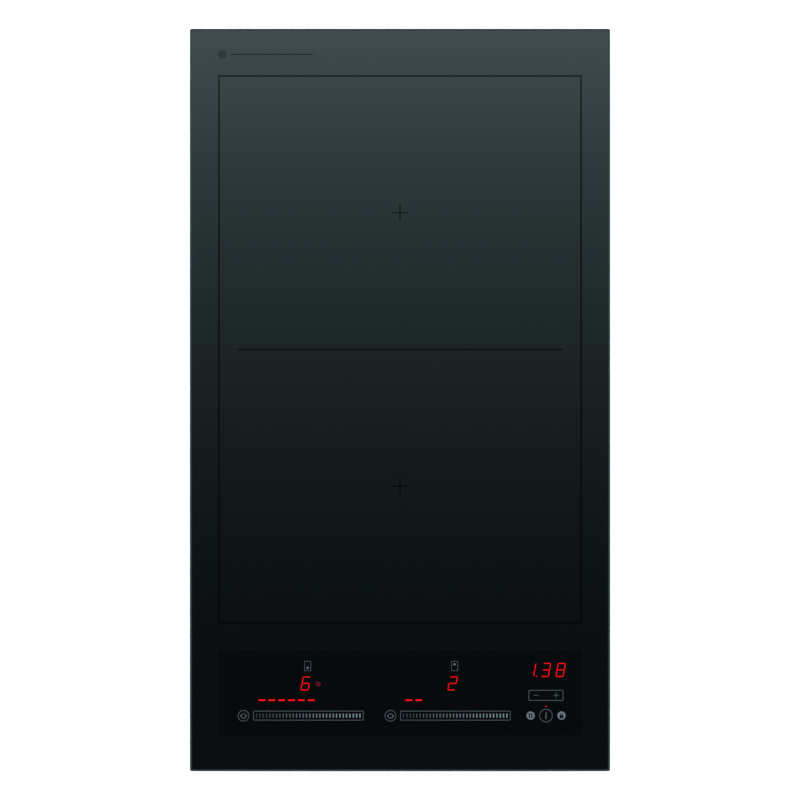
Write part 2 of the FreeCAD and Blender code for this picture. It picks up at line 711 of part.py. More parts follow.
def coil_winding(zone_y):
    """Flat litz winding with the groove between neighbouring turns."""
    winding = slab(0, 0, COIL_W, COIL_D, COIL_CORNER_R, COIL_Z, COIL_TOP_Z)
    winding = winding.cut(slab(0, 0, COIL_EYE_W, COIL_EYE_D, 20, COIL_Z - 1, COIL_TOP_Z + 1))
    step_w = (COIL_W - COIL_EYE_W) / COIL_TURNS
    step_d = (COIL_D - COIL_EYE_D) / COIL_TURNS
    step_r = (COIL_CORNER_R - 20) / COIL_TURNS
    grooves = []
    for k in range(1, COIL_TURNS):
        w = COIL_W - k * step_w
        d = COIL_D - k * step_d
        r = COIL_CORNER_R - k * step_r
        groove = slab(0, 0, w, d, r, COIL_TOP_Z - 1.2, COIL_TOP_Z + 1)
        grooves.append(groove.cut(slab(0, 0, w - 1.2, d - 1.2, r - 0.6, COIL_TOP_Z - 2, COIL_TOP_Z + 2)))
    return winding.cut(grooves).translated(V(0, zone_y, 0))


def coil_mica(zone_y):
    """Mica sheet between the winding and the glass, open over the sensor."""
    sheet = slab(0, zone_y, COIL_W + 8, COIL_D + 8, COIL_CORNER_R, COIL_TOP_Z, COIL_TOP_Z + MICA_T)
    return sheet.cut(rod(0, zone_y, COIL_TOP_Z - 1, GLASS_Z, SENSOR_CAP_R + 3))


def temperature_sensor(zone_y):
    """Sprung sensor that follows the underside of the glass."""
    cap = rod(0, zone_y, SENSOR_CAP_Z, SENSOR_TOP_Z, SENSOR_CAP_R)
    cap = cap.makeFillet(0.5, top_edges(cap))
    return cap.fuse(rod(0, zone_y, CARRIER_Z + 1, SENSOR_CAP_Z, SENSOR_STEM_R)).removeSplitter()


def sensor_spring(zone_y):
    """Open coil spring between the carrier's cup and the sensor's cap, bent turn by turn."""
    low = SENSOR_CUP_Z + SPRING_WIRE_R
    rise = SENSOR_CAP_Z - SPRING_WIRE_R - low
    corner_r = SPRING_R / math.cos(math.pi / SPRING_BENDS)
    corners = SPRING_TURNS * SPRING_BENDS
    path = []
    for k in range(corners + 1):
        a = k * 2 * math.pi / SPRING_BENDS
        path.append((corner_r * math.cos(a), zone_y + corner_r * math.sin(a), low + rise * k / corners))
    return bent_wire(path, SPRING_WIRE_R, 0.9 * SPRING_R)


def coil_leads():
    """Litz leads from both windings down to the terminals on the power board."""
    leads = []
    for zone_y in ZONES.values():
        for y in lead_ys(zone_y):
            z = COIL_Z + LEAD_R + 0.4
            path = [(-COIL_W / 2 - 0.5, y, z), (LEAD_X, y, z), (LEAD_X, y, LEAD_LOW_Z)]
            path.append((TERMINAL_POST_X - BRASS_W / 2, y, LEAD_LOW_Z))
            leads.append(bent_wire(path, LEAD_R, 4.0))
    return group(leads)


# ------------------------------------------------------------------------------- blower
FAN_Z = SHEET + 1.0
HOUSING_WALL = 1.5
HOUSING_TOP_Z = 28.0
OUTLET_Y = -56.0
OUTLET_X0 = 8.0
SCROLL_RS = (44.0, 48.0, 52.0)
SCROLL_X = -2.0
SCROLL_Y = 0.5
HUB_R = 17.5
SHAFT_R = 1.5
BEARING_R = 3.5


def scroll(grow, z0, z1):
    """The blower's scroll, three quarter arcs of growing radius and a straight outlet."""
    r1, r2, r3 = (r + grow for r in SCROLL_RS)
    step = SCROLL_RS[1] - SCROLL_RS[0]
    c1 = V(SCROLL_X, SCROLL_Y, z0)
    c2 = c1 + V(step, 0, 0)
    c3 = c2 - V(0, step, 0)
    arcs = [Part.makeCircle(r1, c1, Z_AXIS, 180, 270), Part.makeCircle(r2, c2, Z_AXIS, 90, 180),
            Part.makeCircle(r3, c3, Z_AXIS, 0, 90)]
    tongue_y = c1.y - r1
    right_x = c3.x + r3
    corners = [V(right_x, c3.y, z0), V(right_x, OUTLET_Y, z0), V(OUTLET_X0 - grow, OUTLET_Y, z0),
               V(OUTLET_X0 - grow, tongue_y, z0), V(c1.x, tongue_y, z0)]
    lines = [Part.makeLine(corners[i], corners[i + 1]) for i in range(len(corners) - 1)]
    wire = Part.Wire(Part.__sortEdges__(arcs + lines))
    return Part.Face(wire).extrude(V(0, 0, z1 - z0)).translated(V(FAN_X, FAN_Y, 0))


FAN_LUGS = [(FAN_X - 37.1, FAN_Y + 37.1), (FAN_X + 39.6, FAN_Y + 39.6), (FAN_X - 35.4, FAN_Y - 35.4)]


def fan_housing():
    """Scroll housing with the inlet in its floor and three screw lugs."""
    housing = scroll(HOUSING_WALL, FAN_Z, HOUSING_TOP_Z)
    housing = housing.multiFuse([rod(x, y, FAN_Z, FAN_Z + 4, 5) for x, y in FAN_LUGS])
    housing = housing.cut(scroll(0, FAN_Z + HOUSING_WALL, HOUSING_TOP_Z + 1))
    lip = ring(FAN_X, FAN_Y, FAN_Z, FAN_Z + 3, 34.5, 33)
    housing = housing.cut(rod(FAN_X, FAN_Y, 0, FAN_Z + 3, 33)).fuse(lip)
    return housing.cut([rod(x, y, 0, 10, M3_R) for x, y in FAN_LUGS]).removeSplitter()


def fan_cover():
    """Lid of the blower with the bearing tube that carries the stator."""
    cover = scroll(HOUSING_WALL, HOUSING_TOP_Z, HOUSING_TOP_Z + HOUSING_WALL)
    cover = cover.fuse(rod(FAN_X, FAN_Y, 11, HOUSING_TOP_Z, 5)).removeSplitter()
    return cover.cut(rod(FAN_X, FAN_Y, 10, HOUSING_TOP_Z - 0.5, BEARING_R))


def fan_bearing():
    """Sintered sleeve bearing."""
    return ring(FAN_X, FAN_Y, 11.5, HOUSING_TOP_Z - 1, BEARING_R, SHAFT_R + 0.1)


def fan_stator():
    """Six-pole laminated stator."""
    core = ring(FAN_X, FAN_Y, 12, 22, 7.5, 5)
    shoe = ring(FAN_X, FAN_Y, 12, 22, 14.2, 12.8)
    teeth = []
    gaps = []
    for k in range(6):
        tooth = box(6.5, 13.5, -1.6, 1.6, 12, 22).rotated(V(0, 0, 0), Z_AXIS, 60 * k)
        teeth.append(tooth.translated(V(FAN_X, FAN_Y, 0)))
        gap = box(12, 15, -1, 1, 11, 23).rotated(V(0, 0, 0), Z_AXIS, 60 * k + 30)
        gaps.append(gap.translated(V(FAN_X, FAN_Y, 0)))
    return core.multiFuse([shoe.cut(gaps)] + teeth).removeSplitter()


def fan_impeller():
    """Forward-curved wheel: hub cup, back plate, blades and end ring."""
    cup = rod(0, 0, 8, 24, HUB_R).cut(rod(0, 0, 9.6, 25, HUB_R - 1.5))
    wheel = cup.fuse(ring(0, 0, 22.5, 24, FAN_R, HUB_R - 0.2))
    wheel = wheel.fuse(ring(0, 0, 4.9, 6.4, FAN_R, FAN_R - 3))
    blades = []
    for k in range(BLADE_COUNT):
        blade = box(0, 10.4, -0.6, 0.6, 5.5, 23).rotated(V(0, 0, 0), Z_AXIS, 32).translated(V(30.6, 0, 0))
        blades.append(blade.rotated(V(0, 0, 0), Z_AXIS, k * 360 / BLADE_COUNT))
    limit = rod(0, 0, 0, 30, FAN_R)
    wheel = wheel.multiFuse([blade.common(limit) for blade in blades])
    return wheel.cut(rod(0, 0, 0, 30, SHAFT_R)).removeSplitter().translated(V(FAN_X, FAN_Y, 0))


def rotor_magnet():
    """Ring magnet inside the hub cup."""
    return ring(FAN_X, FAN_Y, 11, 23, HUB_R - 1.5, HUB_R - 2.7)


def fan_shaft():
    """Steel shaft pressed into the hub."""
    return rod(FAN_X, FAN_Y, 8, HOUSING_TOP_Z - 1.5, SHAFT_R)


# ---------------------------------------------------------------------- power electronics
SINK_X = -37.0
SINK_W = 70.0
SINK_FRONT_Y = -58.0
SINK_REAR_Y = 82.0
SINK_Z = 13.0
SINK_TOP_Z = 33.5
DUCT_TOP_Z = 35.9
DUCT_WALL = 1.5
FIN_COUNT = 14
BOARD_POSTS = [(s * 112.0, y) for y in (-149.0, -35.0, 79.0) for s in (-1, 1)]
TERMINAL_POST_X = -88.0
DEVICE_YS = (-38.0, -12.0, 14.0, 40.0, 66.0)
LEG_PITCH = 5.4


def power_board():
    """Circuit board of the two inverters."""
    middle = (BOARD_FRONT_Y + BOARD_REAR_Y) / 2
    board = slab(0, middle, 2 * BOARD_X, BOARD_REAR_Y - BOARD_FRONT_Y, 3, BOARD_Z, BOARD_TOP_Z)
    return board.cut([rod(x, y, 0, 10, M3_R) for x, y in BOARD_POSTS])


def board_standoffs():
    """Moulded stand-offs on the chassis floor under the power board."""
    posts = []
    for x, y in BOARD_POSTS:
        post = Part.makeCone(5, 3.6, BOARD_Z - SHEET, V(x, y, SHEET))
        posts.append(post.cut(rod(x, y, SHEET + 0.5, 10, M3_R)))
    return group(posts)


def board_screws():
    """Screws of the power board and of the blower's lugs."""
    screw = pan_head_screw(M3_R, 4.2, 2.8, 1.8)
    screws = [screw.translated(V(x, y, BOARD_TOP_Z)) for x, y in BOARD_POSTS]
    fan_screw = pan_head_screw(M3_R, 3.8, 2.8, 1.8)
    screws += [fan_screw.translated(V(x, y, FAN_Z + 4)) for x, y in FAN_LUGS]
    return group(screws)


def air_duct():
    """Duct that leads the blower's air over the heat sink."""
    x0 = SINK_X - SINK_W / 2 - DUCT_WALL - 1.5
    x1 = SINK_X + SINK_W / 2 + DUCT_WALL + 1.5
    y0 = SINK_FRONT_Y - 4
    y1 = FAN_Y + OUTLET_Y
    duct = box(x0, x1, y0, y1, BOARD_TOP_Z, DUCT_TOP_Z)
    duct = fillet_long_edges(duct, 3, [V(x0, 0, DUCT_TOP_Z), V(x1, 0, DUCT_TOP_Z)], Y_AXIS)
    inner = box(x0 + DUCT_WALL, x1 - DUCT_WALL, y0 - 1, y1 - DUCT_WALL, 0, DUCT_TOP_Z - DUCT_WALL)
    mouth = box(FAN_X + OUTLET_X0, FAN_X + 54, y1 - 5, y1 + 1, 0, HOUSING_TOP_Z)
    return duct.cut([inner, mouth])


def heat_sink():
    """Extruded aluminium sink: base, fins and four feet on the board."""
    x0 = SINK_X - SINK_W / 2
    x1 = SINK_X + SINK_W / 2
    sink = box(x0, x1, SINK_FRONT_Y, SINK_REAR_Y, SINK_Z, SINK_Z + 4)
    pitch = (SINK_W - 1.6) / (FIN_COUNT - 1)
    fins = [box(x0 + k * pitch, x0 + k * pitch + 1.6, SINK_FRONT_Y, SINK_REAR_Y, SINK_Z + 3, SINK_TOP_Z)
            for k in range(FIN_COUNT)]
    feet = [rod(x, y, BOARD_TOP_Z, SINK_Z + 1, 2.6) for x in (x0 + 4, x1 - 4)
            for y in (SINK_FRONT_Y + 4, SINK_REAR_Y - 4)]
    return sink.multiFuse(fins + feet).removeSplitter()


def power_transistors():
    """Four power switches and the bridge rectifier, flat under the heat sink."""
    devices = []
    for y in DEVICE_YS:
        body = box(SINK_X - 8, SINK_X + 8, y - 10, y + 10, SINK_Z - 5, SINK_Z)
        body = body.cut(box(SINK_X - 9, SINK_X - 6, y - 2, y + 2, SINK_Z - 6, SINK_Z + 1))
        leg_x = SINK_X + 12
        leg_z = SINK_Z - 2.4
        legs = []
        for leg_y in (y - LEG_PITCH, y, y + LEG_PITCH):
            legs.append(box(leg_x - 4, leg_x, leg_y - 0.6, leg_y + 0.6, leg_z - 0.6, leg_z))
            legs.append(box(leg_x - 0.6, leg_x, leg_y - 0.6, leg_y + 0.6, BOARD_TOP_Z, leg_z))
        devices.append(body.multiFuse(legs).removeSplitter())
    return group(devices)


FILM_PLACES = [(34.0, 62.0), (34.0, 38.0), (34.0, -22.0), (34.0, -46.0)]
BULK_X = 90.0
BULK_Y = -20.0
FILM_H = 24.0
BULK_R = 12.0
BULK_L = 42.0
CHOKE_X = 88.0
CHOKE_Y = 44.0
CHOKE_LOOPS = 8
CHOKE_STEP = 18.0
SMALL_X = 88.0
TRANSFORMER_Y = -84.0
RELAY_Y = -118.0
RELAY_H = 16.0
BRASS_W = 8.0
BRASS_H = 10.0


def film_capacitors():
    """Resonance capacitors in cast boxes."""
    boxes = []
    for x, y in FILM_PLACES:
        one = slab(x, y, 42, 19, 1.5, BOARD_TOP_Z, BOARD_TOP_Z + FILM_H)
        boxes.append(one.makeFillet(0.8, top_edges(one)))
    return group(boxes)


def bulk_capacitor():
    """Electrolytic capacitor lying on the board, with its rolled groove."""
    can = rod(0, 0, -BULK_L / 2, BULK_L / 2, BULK_R)
    can = can.makeFillet(1.2, [e for e in can.Edges if e.isClosed()])
    can = can.cut(Part.makeTorus(BULK_R + 0.4, 1.2, V(0, 0, BULK_L / 2 - 6)))
    return along_y(can).translated(V(BULK_X, BULK_Y, BOARD_TOP_Z + BULK_R))


def choke_core():
    """Ferrite ring of the mains choke."""
    return ring(CHOKE_X, CHOKE_Y, BOARD_TOP_Z + 2, BOARD_TOP_Z + 16, 18, 9)


def choke_winding():
    """Two rows of wire loops round the choke's core."""
    z0 = BOARD_TOP_Z
    loops = []
    for side in (0, 180):
        for k in range(CHOKE_LOOPS):
            loop = box(7.4, 19.6, -0.75, 0.75, z0 + 0.4, z0 + 17.6)
            loop = loop.cut(box(8.95, 18.05, -2, 2, z0 + 1.95, z0 + 16.05))
            turned = loop.rotated(V(0, 0, 0), Z_AXIS, side + (k - (CHOKE_LOOPS - 1) / 2) * CHOKE_STEP)
            loops.append(turned.translated(V(CHOKE_X, CHOKE_Y, 0)))
    return group([loop.cut(choke_core()) for loop in loops])


def standby_transformer():
    """Small transformer: ferrite frame round a wound bobbin."""
    z0 = BOARD_TOP_Z
    bobbin = slab(SMALL_X, TRANSFORMER_Y, 16, 18, 2, z0, z0 + 18)
    frame = box(SMALL_X - 13, SMALL_X + 13, TRANSFORMER_Y - 5, TRANSFORMER_Y + 5, z0 + 2, z0 + 20)
    return frame.fuse(bobbin).removeSplitter()


def board_relay():
    """Mains relay."""
    relay = slab(SMALL_X, RELAY_Y, 29, 13, 1, BOARD_TOP_Z, BOARD_TOP_Z + RELAY_H)
    return relay.makeFillet(0.6, top_edges(relay))


def coil_terminals():
    """Brass screw terminals for the coil leads."""
    posts = []
    x = TERMINAL_POST_X
    half = BRASS_W / 2
    top = BOARD_TOP_Z + BRASS_H
    for zone_y in ZONES.values():
        for y in lead_ys(zone_y):
            post = box(x - half, x + half, y - half, y + half, BOARD_TOP_Z, top)
            screw = rod(x, y, top - 0.5, top + 1.5, 2.8)
            slot = box(x - 3, x + 3, y - 0.4, y + 0.4, top + 0.7, top + 2)
            posts.append(post.fuse(screw).cut(slot))
    return group(posts)


PLUG_Z = 14.0
PLUG_REAR_Y = 86.0
MAINS_PLUG_X = 78.0
FAN_PLUG_X = 8.0
RIBBON_W = 20.0
RIBBON_FRONT_Y = -169.5
RIBBON_LOW_Z = 12.0
RIBBON_HIGH_Z = 44.0


def mains_wires():
    """Three wires from the terminal block to their plug at the rear edge of the power board."""
    wires = []
    for k, x in enumerate(terminal_xs()[:3]):
        end_x = MAINS_PLUG_X + 8 * (k - 1)
        path = [(x, TERMINAL_Y - 11, TERMINAL_WIRE_Z), (x, 150, TERMINAL_WIRE_Z)]
        path += [(end_x, 112, PLUG_Z), (end_x, PLUG_REAR_Y, PLUG_Z)]
        wires.append(bent_wire(path, 1.4, 10.0))
    x = MAINS_PLUG_X
    return wires + [box(x - 14, x + 14, PLUG_REAR_Y - 10, PLUG_REAR_Y, BOARD_TOP_Z, BOARD_TOP_Z + 11)]


def fan_lead():
    """The blower's lead with its plug."""
    x = FAN_PLUG_X
    path = [(FAN_X + 55.5, 118, 26), (-4, 118, 26), (x, 104, PLUG_Z), (x, PLUG_REAR_Y, PLUG_Z)]
    plug = box(x - 5, x + 5, PLUG_REAR_Y - 8, PLUG_REAR_Y, BOARD_TOP_Z, BOARD_TOP_Z + 9)
    return [bent_wire(path, 1.1, 5.0), plug]


def control_ribbon():
    """Flat ribbon from the power board up to the control board, with a plug at each end."""
    half = RIBBON_W / 2
    y0 = RIBBON_FRONT_Y
    runs = [
        box(-half, half, y0, BOARD_FRONT_Y + 4, RIBBON_LOW_Z, RIBBON_LOW_Z + 1),
        box(-half, half, y0, y0 + 1, RIBBON_LOW_Z, RIBBON_HIGH_Z + 1),
        box(-half, half, y0 - 12.5, y0 + 1, RIBBON_HIGH_Z, RIBBON_HIGH_Z + 1),
        box(-half - 2, half + 2, BOARD_FRONT_Y + 2, BOARD_FRONT_Y + 9, BOARD_TOP_Z, RIBBON_LOW_Z + 3),
        box(-half - 2, half + 2, y0 - 16.5, y0 - 10.5, CONTROL_TOP_Z, RIBBON_HIGH_Z + 2),
    ]
    return runs[0].multiFuse(runs[1:]).removeSplitter()


def wiring_loom():
    """Mains wires, the blower's lead and the control ribbon."""
    return group(mains_wires() + fan_lead() + [control_ribbon()])


# ------------------------------------------------------------------------ touch control
TRAY_WALL = 1.5
LEFT_SLIDER_X = -65.15
RIGHT_SLIDER_X = 39.7
DIGIT_Y = -202.2
TIMER_X = 106.8
TIMER_Y = -192.6
LIGHT_BOX_TOP_Z = 48.0
BAR_Y = -214.2
BAR_PITCH = 7.04
BAR_COUNT = 10
LAMP_X = 104.1
LAMP_Y = -217.5
TOUCH_Y = -225.2
TOUCH_COUNT = 8
TOUCH_PITCH = 9.7
KEY_XS = (93.4, 104.4, 115.4)
TIMER_KEY_XS = (97.3, 111.5)
TIMER_KEY_Y = -209.4
TRAY_FOOT_XS = (-60.0, 60.0)
TRAY_POST_XS = (-100.0, 0.0, 100.0)
TRAY_POST_YS = (-230.0, -182.0)


def control_tray():
    """Tray that holds the control board up under the glass."""
    tray = box(-TRAY_X, TRAY_X, TRAY_FRONT_Y, TRAY_REAR_Y, TRAY_Z, TRAY_TOP_Z)
    inner = box(TRAY_WALL - TRAY_X, TRAY_X - TRAY_WALL, TRAY_FRONT_Y + TRAY_WALL, TRAY_REAR_Y - TRAY_WALL,
                TRAY_Z + TRAY_WALL, TRAY_TOP_Z + 1)
    tray = tray.cut(inner)
    feet = []
    for x in TRAY_FOOT_XS:
        feet.append(box(x - 5, x + 5, TRAY_FRONT_Y + 4, TRAY_FRONT_Y + 14, PAN_STEP_Z + SHEET, TRAY_Z + 1))
        feet.append(box(x - 5, x + 5, TRAY_REAR_Y - 14, TRAY_REAR_Y - 4, SHEET, TRAY_Z + 1))
    for x in TRAY_POST_XS:
        feet += [rod(x, y, TRAY_Z + 1, CONTROL_Z, 3.5) for y in TRAY_POST_YS]
    gate = box(-13, 13, TRAY_REAR_Y - 3, TRAY_REAR_Y + 1, RIBBON_HIGH_Z - 1, TRAY_TOP_Z + 1)
    return tray.multiFuse(feet).cut(gate).removeSplitter()


def control_board():
    """Touch-control circuit board."""
    middle = (TRAY_FRONT_Y + TRAY_REAR_Y) / 2
    return slab(0, middle, 2 * TRAY_X - 7, TRAY_REAR_Y - TRAY_FRONT_Y - 7, 2, CONTROL_Z, CONTROL_TOP_Z)


def light_box(x, y, w, d, wells):
    """Display housing with open light wells, each given as centre and size."""
    top = LIGHT_BOX_TOP_Z
    housing = slab(x, y, w, d, 1, CONTROL_TOP_Z, top)
    cutters = [slab(wx, wy, ww, wd, 0.6, CONTROL_TOP_Z + 1.5, top + 1) for wx, wy, ww, wd in wells]
    return housing.cut(cutters)


def display_modules():
    """Light boxes of the two level digits, the level bars and the timer."""
    modules = []
    for x in (LEFT_SLIDER_X, RIGHT_SLIDER_X):
        digit_x = x - 2.1
        wells = [(digit_x, DIGIT_Y, 8.6, 11.4), (digit_x, -189.8, 4, 6), (x + 7, DIGIT_Y, 4.4, 4.4)]
        modules.append(light_box(x, -196.5, 24, 25, wells))
        bars = [(x - 33.5 + BAR_PITCH * k, BAR_Y, 5.6, 2.2) for k in range(BAR_COUNT)]
        modules.append(light_box(x, BAR_Y, 78, 5.4, bars))
    digits = [(TIMER_X - 10.4, TIMER_Y, 5, 11.6), (TIMER_X - 2.2, TIMER_Y, 8.4, 11.6),
              (TIMER_X + 7.9, TIMER_Y, 8.6, 11.6)]
    modules.append(light_box(TIMER_X, TIMER_Y, 31, 15, digits))
    modules.append(light_box(LAMP_X, LAMP_Y, 6, 3.6, [(LAMP_X, LAMP_Y, 2.4, 2.0)]))
    return group(modules)


def touch_springs():
    """Contact springs between the board's touch areas and the glass, as sleeves with a pad."""
    places = [(x, TOUCH_Y) for x in KEY_XS] + [(x, TIMER_KEY_Y) for x in TIMER_KEY_XS]
    for x in (LEFT_SLIDER_X, RIGHT_SLIDER_X):
        places.append((x - 46.5, TOUCH_Y))
        places += [(x - 34 + TOUCH_PITCH * k, TOUCH_Y) for k in range(TOUCH_COUNT)]
    springs = []
    for x, y in places:
        sleeve = ring(x, y, CONTROL_TOP_Z, GLASS_Z - 0.8, 3.0, 2.4)
        springs.append(sleeve.fuse(rod(x, y, GLASS_Z - 1.2, GLASS_Z - 0.1, 3.6)).removeSplitter())
    return group(springs)


# --------------------------------------------------------------------------------- write
def main():
    """Write every node."""
    os.makedirs("parts", exist_ok=True)
    pan = base_pan()
    save("glass_top", glass_top())
    save("worktop_seal", worktop_seal())
    save("adhesive_beads", adhesive_beads())
    save("support_rails", support_rails())
    save("side_screws", side_screws())
    save("base_pan", pan)
    save("front_end_plate", front_end_plate(pan))
    save("rear_end_plate", rear_end_plate(pan))
    save("pan_rivets", pan_rivets())
    save("clamp_rivet_nuts", clamp_rivet_nuts())
    save("clamp_screws", clamp_screws())
    names = ("front_left_clamp", "front_right_clamp", "rear_left_clamp", "rear_right_clamp")
    for name, (x, y) in zip(names, four_corners()):
        save(name, swing_clamp(x, y))
    save("intake_grille", intake_grille())
    save("cable_gland", cable_gland())
    save("gland_locknut", gland_locknut())
    save("terminal_block", terminal_block())
    save("coil_plate", coil_plate())
    save("coil_posts", coil_posts())
    save("coil_plate_screws", coil_plate_screws())
    for zone, zone_y in ZONES.items():
        save(zone + "_coil_carrier", coil_carrier(zone_y))
        save(zone + "_coil_ferrites", coil_ferrites(zone_y))
        save(zone + "_coil_winding", coil_winding(zone_y))
        save(zone + "_coil_mica", coil_mica(zone_y))
        save(zone + "_temperature_sensor", temperature_sensor(zone_y))
        save(zone + "_sensor_spring", sensor_spring(zone_y))
    save("coil_leads", coil_leads())
    save("fan_housing", fan_housing())
    save("fan_cover", fan_cover())
    save("fan_bearing", fan_bearing())
    save("fan_stator", fan_stator())
    save("fan_impeller", fan_impeller())
    save("rotor_magnet", rotor_magnet())
    save("fan_shaft", fan_shaft())
    save("power_board", power_board())
    save("board_standoffs", board_standoffs())
    save("board_screws", board_screws())
    save("air_duct", air_duct())
    save("heat_sink", heat_sink())
    save("power_transistors", power_transistors())
    save("film_capacitors", film_capacitors())
    save("bulk_capacitor", bulk_capacitor())
    save("choke_core", choke_core())
    save("choke_winding", choke_winding())
    save("standby_transformer", standby_transformer())
    save("board_relay", board_relay())
    save("coil_terminals", coil_terminals())
    save("wiring_loom", wiring_loom())
    save("control_tray", control_tray())
    save("control_board", control_board())
    save("display_modules", display_modules())
    save("touch_springs", touch_springs())


main()
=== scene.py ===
# %% [markdown]
# # Dressing a narrow induction cooktop
#
# The object is a 300 mm wide built-in cooktop: a slab of black glass-ceramic on a stepped
# steel box that disappears into the worktop. From above nearly everything that the eye
# reads is thin: a polished bevel, lines of dark ceramic ink, grey-blue control marks and
# red light from under the glass. From the side it is folded sheet steel, screws and rivets.
#
# The mechanical model comes first and stays where it is. This lesson adds finishes to its
# parts, and replaces only the ones whose real surface is richer than their solid.

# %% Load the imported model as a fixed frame
import json
import math

import bmesh
import bpy
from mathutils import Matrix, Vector


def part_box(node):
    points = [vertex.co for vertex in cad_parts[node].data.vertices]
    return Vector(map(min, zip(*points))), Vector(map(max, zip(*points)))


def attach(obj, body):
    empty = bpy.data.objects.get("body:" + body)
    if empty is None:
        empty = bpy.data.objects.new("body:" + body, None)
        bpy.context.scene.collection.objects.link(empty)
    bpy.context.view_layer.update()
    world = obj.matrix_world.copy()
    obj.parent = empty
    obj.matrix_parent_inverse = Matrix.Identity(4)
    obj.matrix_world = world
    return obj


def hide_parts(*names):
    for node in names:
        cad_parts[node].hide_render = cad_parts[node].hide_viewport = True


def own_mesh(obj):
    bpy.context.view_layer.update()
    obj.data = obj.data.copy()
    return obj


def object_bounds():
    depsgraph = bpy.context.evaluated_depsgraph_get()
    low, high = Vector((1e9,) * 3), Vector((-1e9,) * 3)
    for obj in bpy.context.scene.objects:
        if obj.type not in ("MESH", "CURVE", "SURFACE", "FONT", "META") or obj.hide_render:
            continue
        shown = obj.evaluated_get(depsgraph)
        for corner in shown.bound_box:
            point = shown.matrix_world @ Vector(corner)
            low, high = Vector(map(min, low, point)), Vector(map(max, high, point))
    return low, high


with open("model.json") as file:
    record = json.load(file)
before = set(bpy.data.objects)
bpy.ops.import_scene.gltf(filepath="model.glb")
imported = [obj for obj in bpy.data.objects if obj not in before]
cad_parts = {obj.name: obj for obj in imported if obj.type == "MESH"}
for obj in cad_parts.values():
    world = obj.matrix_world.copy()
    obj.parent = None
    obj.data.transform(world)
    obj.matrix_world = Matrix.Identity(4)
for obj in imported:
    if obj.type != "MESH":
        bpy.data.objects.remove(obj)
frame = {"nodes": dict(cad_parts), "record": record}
cad_low, cad_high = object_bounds()
nodes = frame["nodes"]
record = frame["record"]
MM = 0.001
BODY = "cooktop"
print("size in mm:", [round((b - a) / MM, 1) for a, b in zip(cad_low, cad_high)])

# %% [markdown]
# ## Camera
#
# The cooktop is seen from straight above, as on a product page. A lens of ordinary length
# would show perspective on the chassis below, so a long lens stands far off. The distance
# follows from the lens: the picture is to be a little taller than the glass.

# %% A long lens straight above
LENS = 135.0
SENSOR = 36.0
VIEW_HEIGHT = 0.5708
GLASS_TOP = cad_high.z
CAMERA_RISE = VIEW_HEIGHT * LENS / SENSOR

camera_data = bpy.data.cameras.new("studio_camera")
camera_data.lens = LENS
camera_data.sensor_width = SENSOR
camera_data.clip_end = 50
camera = bpy.data.objects.new("studio_camera", camera_data)
camera.location = (0, 0, GLASS_TOP + CAMERA_RISE)
bpy.context.scene.collection.objects.link(camera)
bpy.context.scene.camera = camera
bpy.context.scene.view_settings.view_transform = "Standard"
print("camera above the glass, m:", round(CAMERA_RISE, 3))

# %% [markdown]
# ## Material helpers
#
# Black glass is nearly all reflection, sheet metal nearly all roughness, ink nearly all
# colour. One helper makes an empty material, and a second builds the pattern that most
# finishes share: a texture in object space that drives colour, roughness and a fine bump.
# Object space is used because these parts have no unwrapped surface, and its unit is the
# metre, so a texture scale of 1000 is one cell per millimetre.

# %% Helpers for node materials
def empty_material(name):
    """A material with its Principled shader, its nodes and its links at hand."""
    material = bpy.data.materials.new(name)
    material.use_nodes = True
    tree = material.node_tree
    return material, tree, tree.nodes["Principled BSDF"]


def add_node(tree, kind, **settings):
    """A node with some of its own settings changed."""
    node = tree.nodes.new(kind)
    for key, value in settings.items():
        setattr(node, key, value)
    return node


def ramp_between(tree, factor, low, high, start=0.0, end=1.0):
    """A colour ramp from one colour to another, driven by a value."""
    ramp = add_node(tree, "ShaderNodeValToRGB")
    ramp.color_ramp.elements[0].position = start
    ramp.color_ramp.elements[0].color = (*low, 1)
    ramp.color_ramp.elements[1].position = end
    ramp.color_ramp.elements[1].color = (*high, 1)
    tree.links.new(factor, ramp.inputs["Fac"])
    return ramp.outputs["Color"]


def value_between(tree, factor, low, high):
    """A value moved from the range 0 to 1 into another range."""
    mapped = add_node(tree, "ShaderNodeMapRange")
    mapped.inputs["To Min"].default_value = low
    mapped.inputs["To Max"].default_value = high
    tree.links.new(factor, mapped.inputs["Value"])
    return mapped.outputs["Result"]


def texture_value(tree, kind, scale, stretch=(1, 1, 1), detail=4.0):
    """A grey texture in object space: noise for grain, voronoi for crystals, wave for turns."""
    place = add_node(tree, "ShaderNodeTexCoord")
    mapping = add_node(tree, "ShaderNodeMapping")
    mapping.inputs["Scale"].default_value = stretch
    tree.links.new(place.outputs["Object"], mapping.inputs["Vector"])
    if kind == "voronoi":
        texture = add_node(tree, "ShaderNodeTexVoronoi")
        output = texture.outputs["Color"]
    elif kind == "wave":
        texture = add_node(tree, "ShaderNodeTexWave", wave_type="BANDS", bands_direction="DIAGONAL")
        output = texture.outputs["Fac"]
    else:
        texture = add_node(tree, "ShaderNodeTexNoise")
        texture.inputs["Detail"].default_value = detail
        output = texture.outputs["Fac"]
    texture.inputs["Scale"].default_value = scale
    tree.links.new(mapping.outputs["Vector"], texture.inputs["Vector"])
    return output


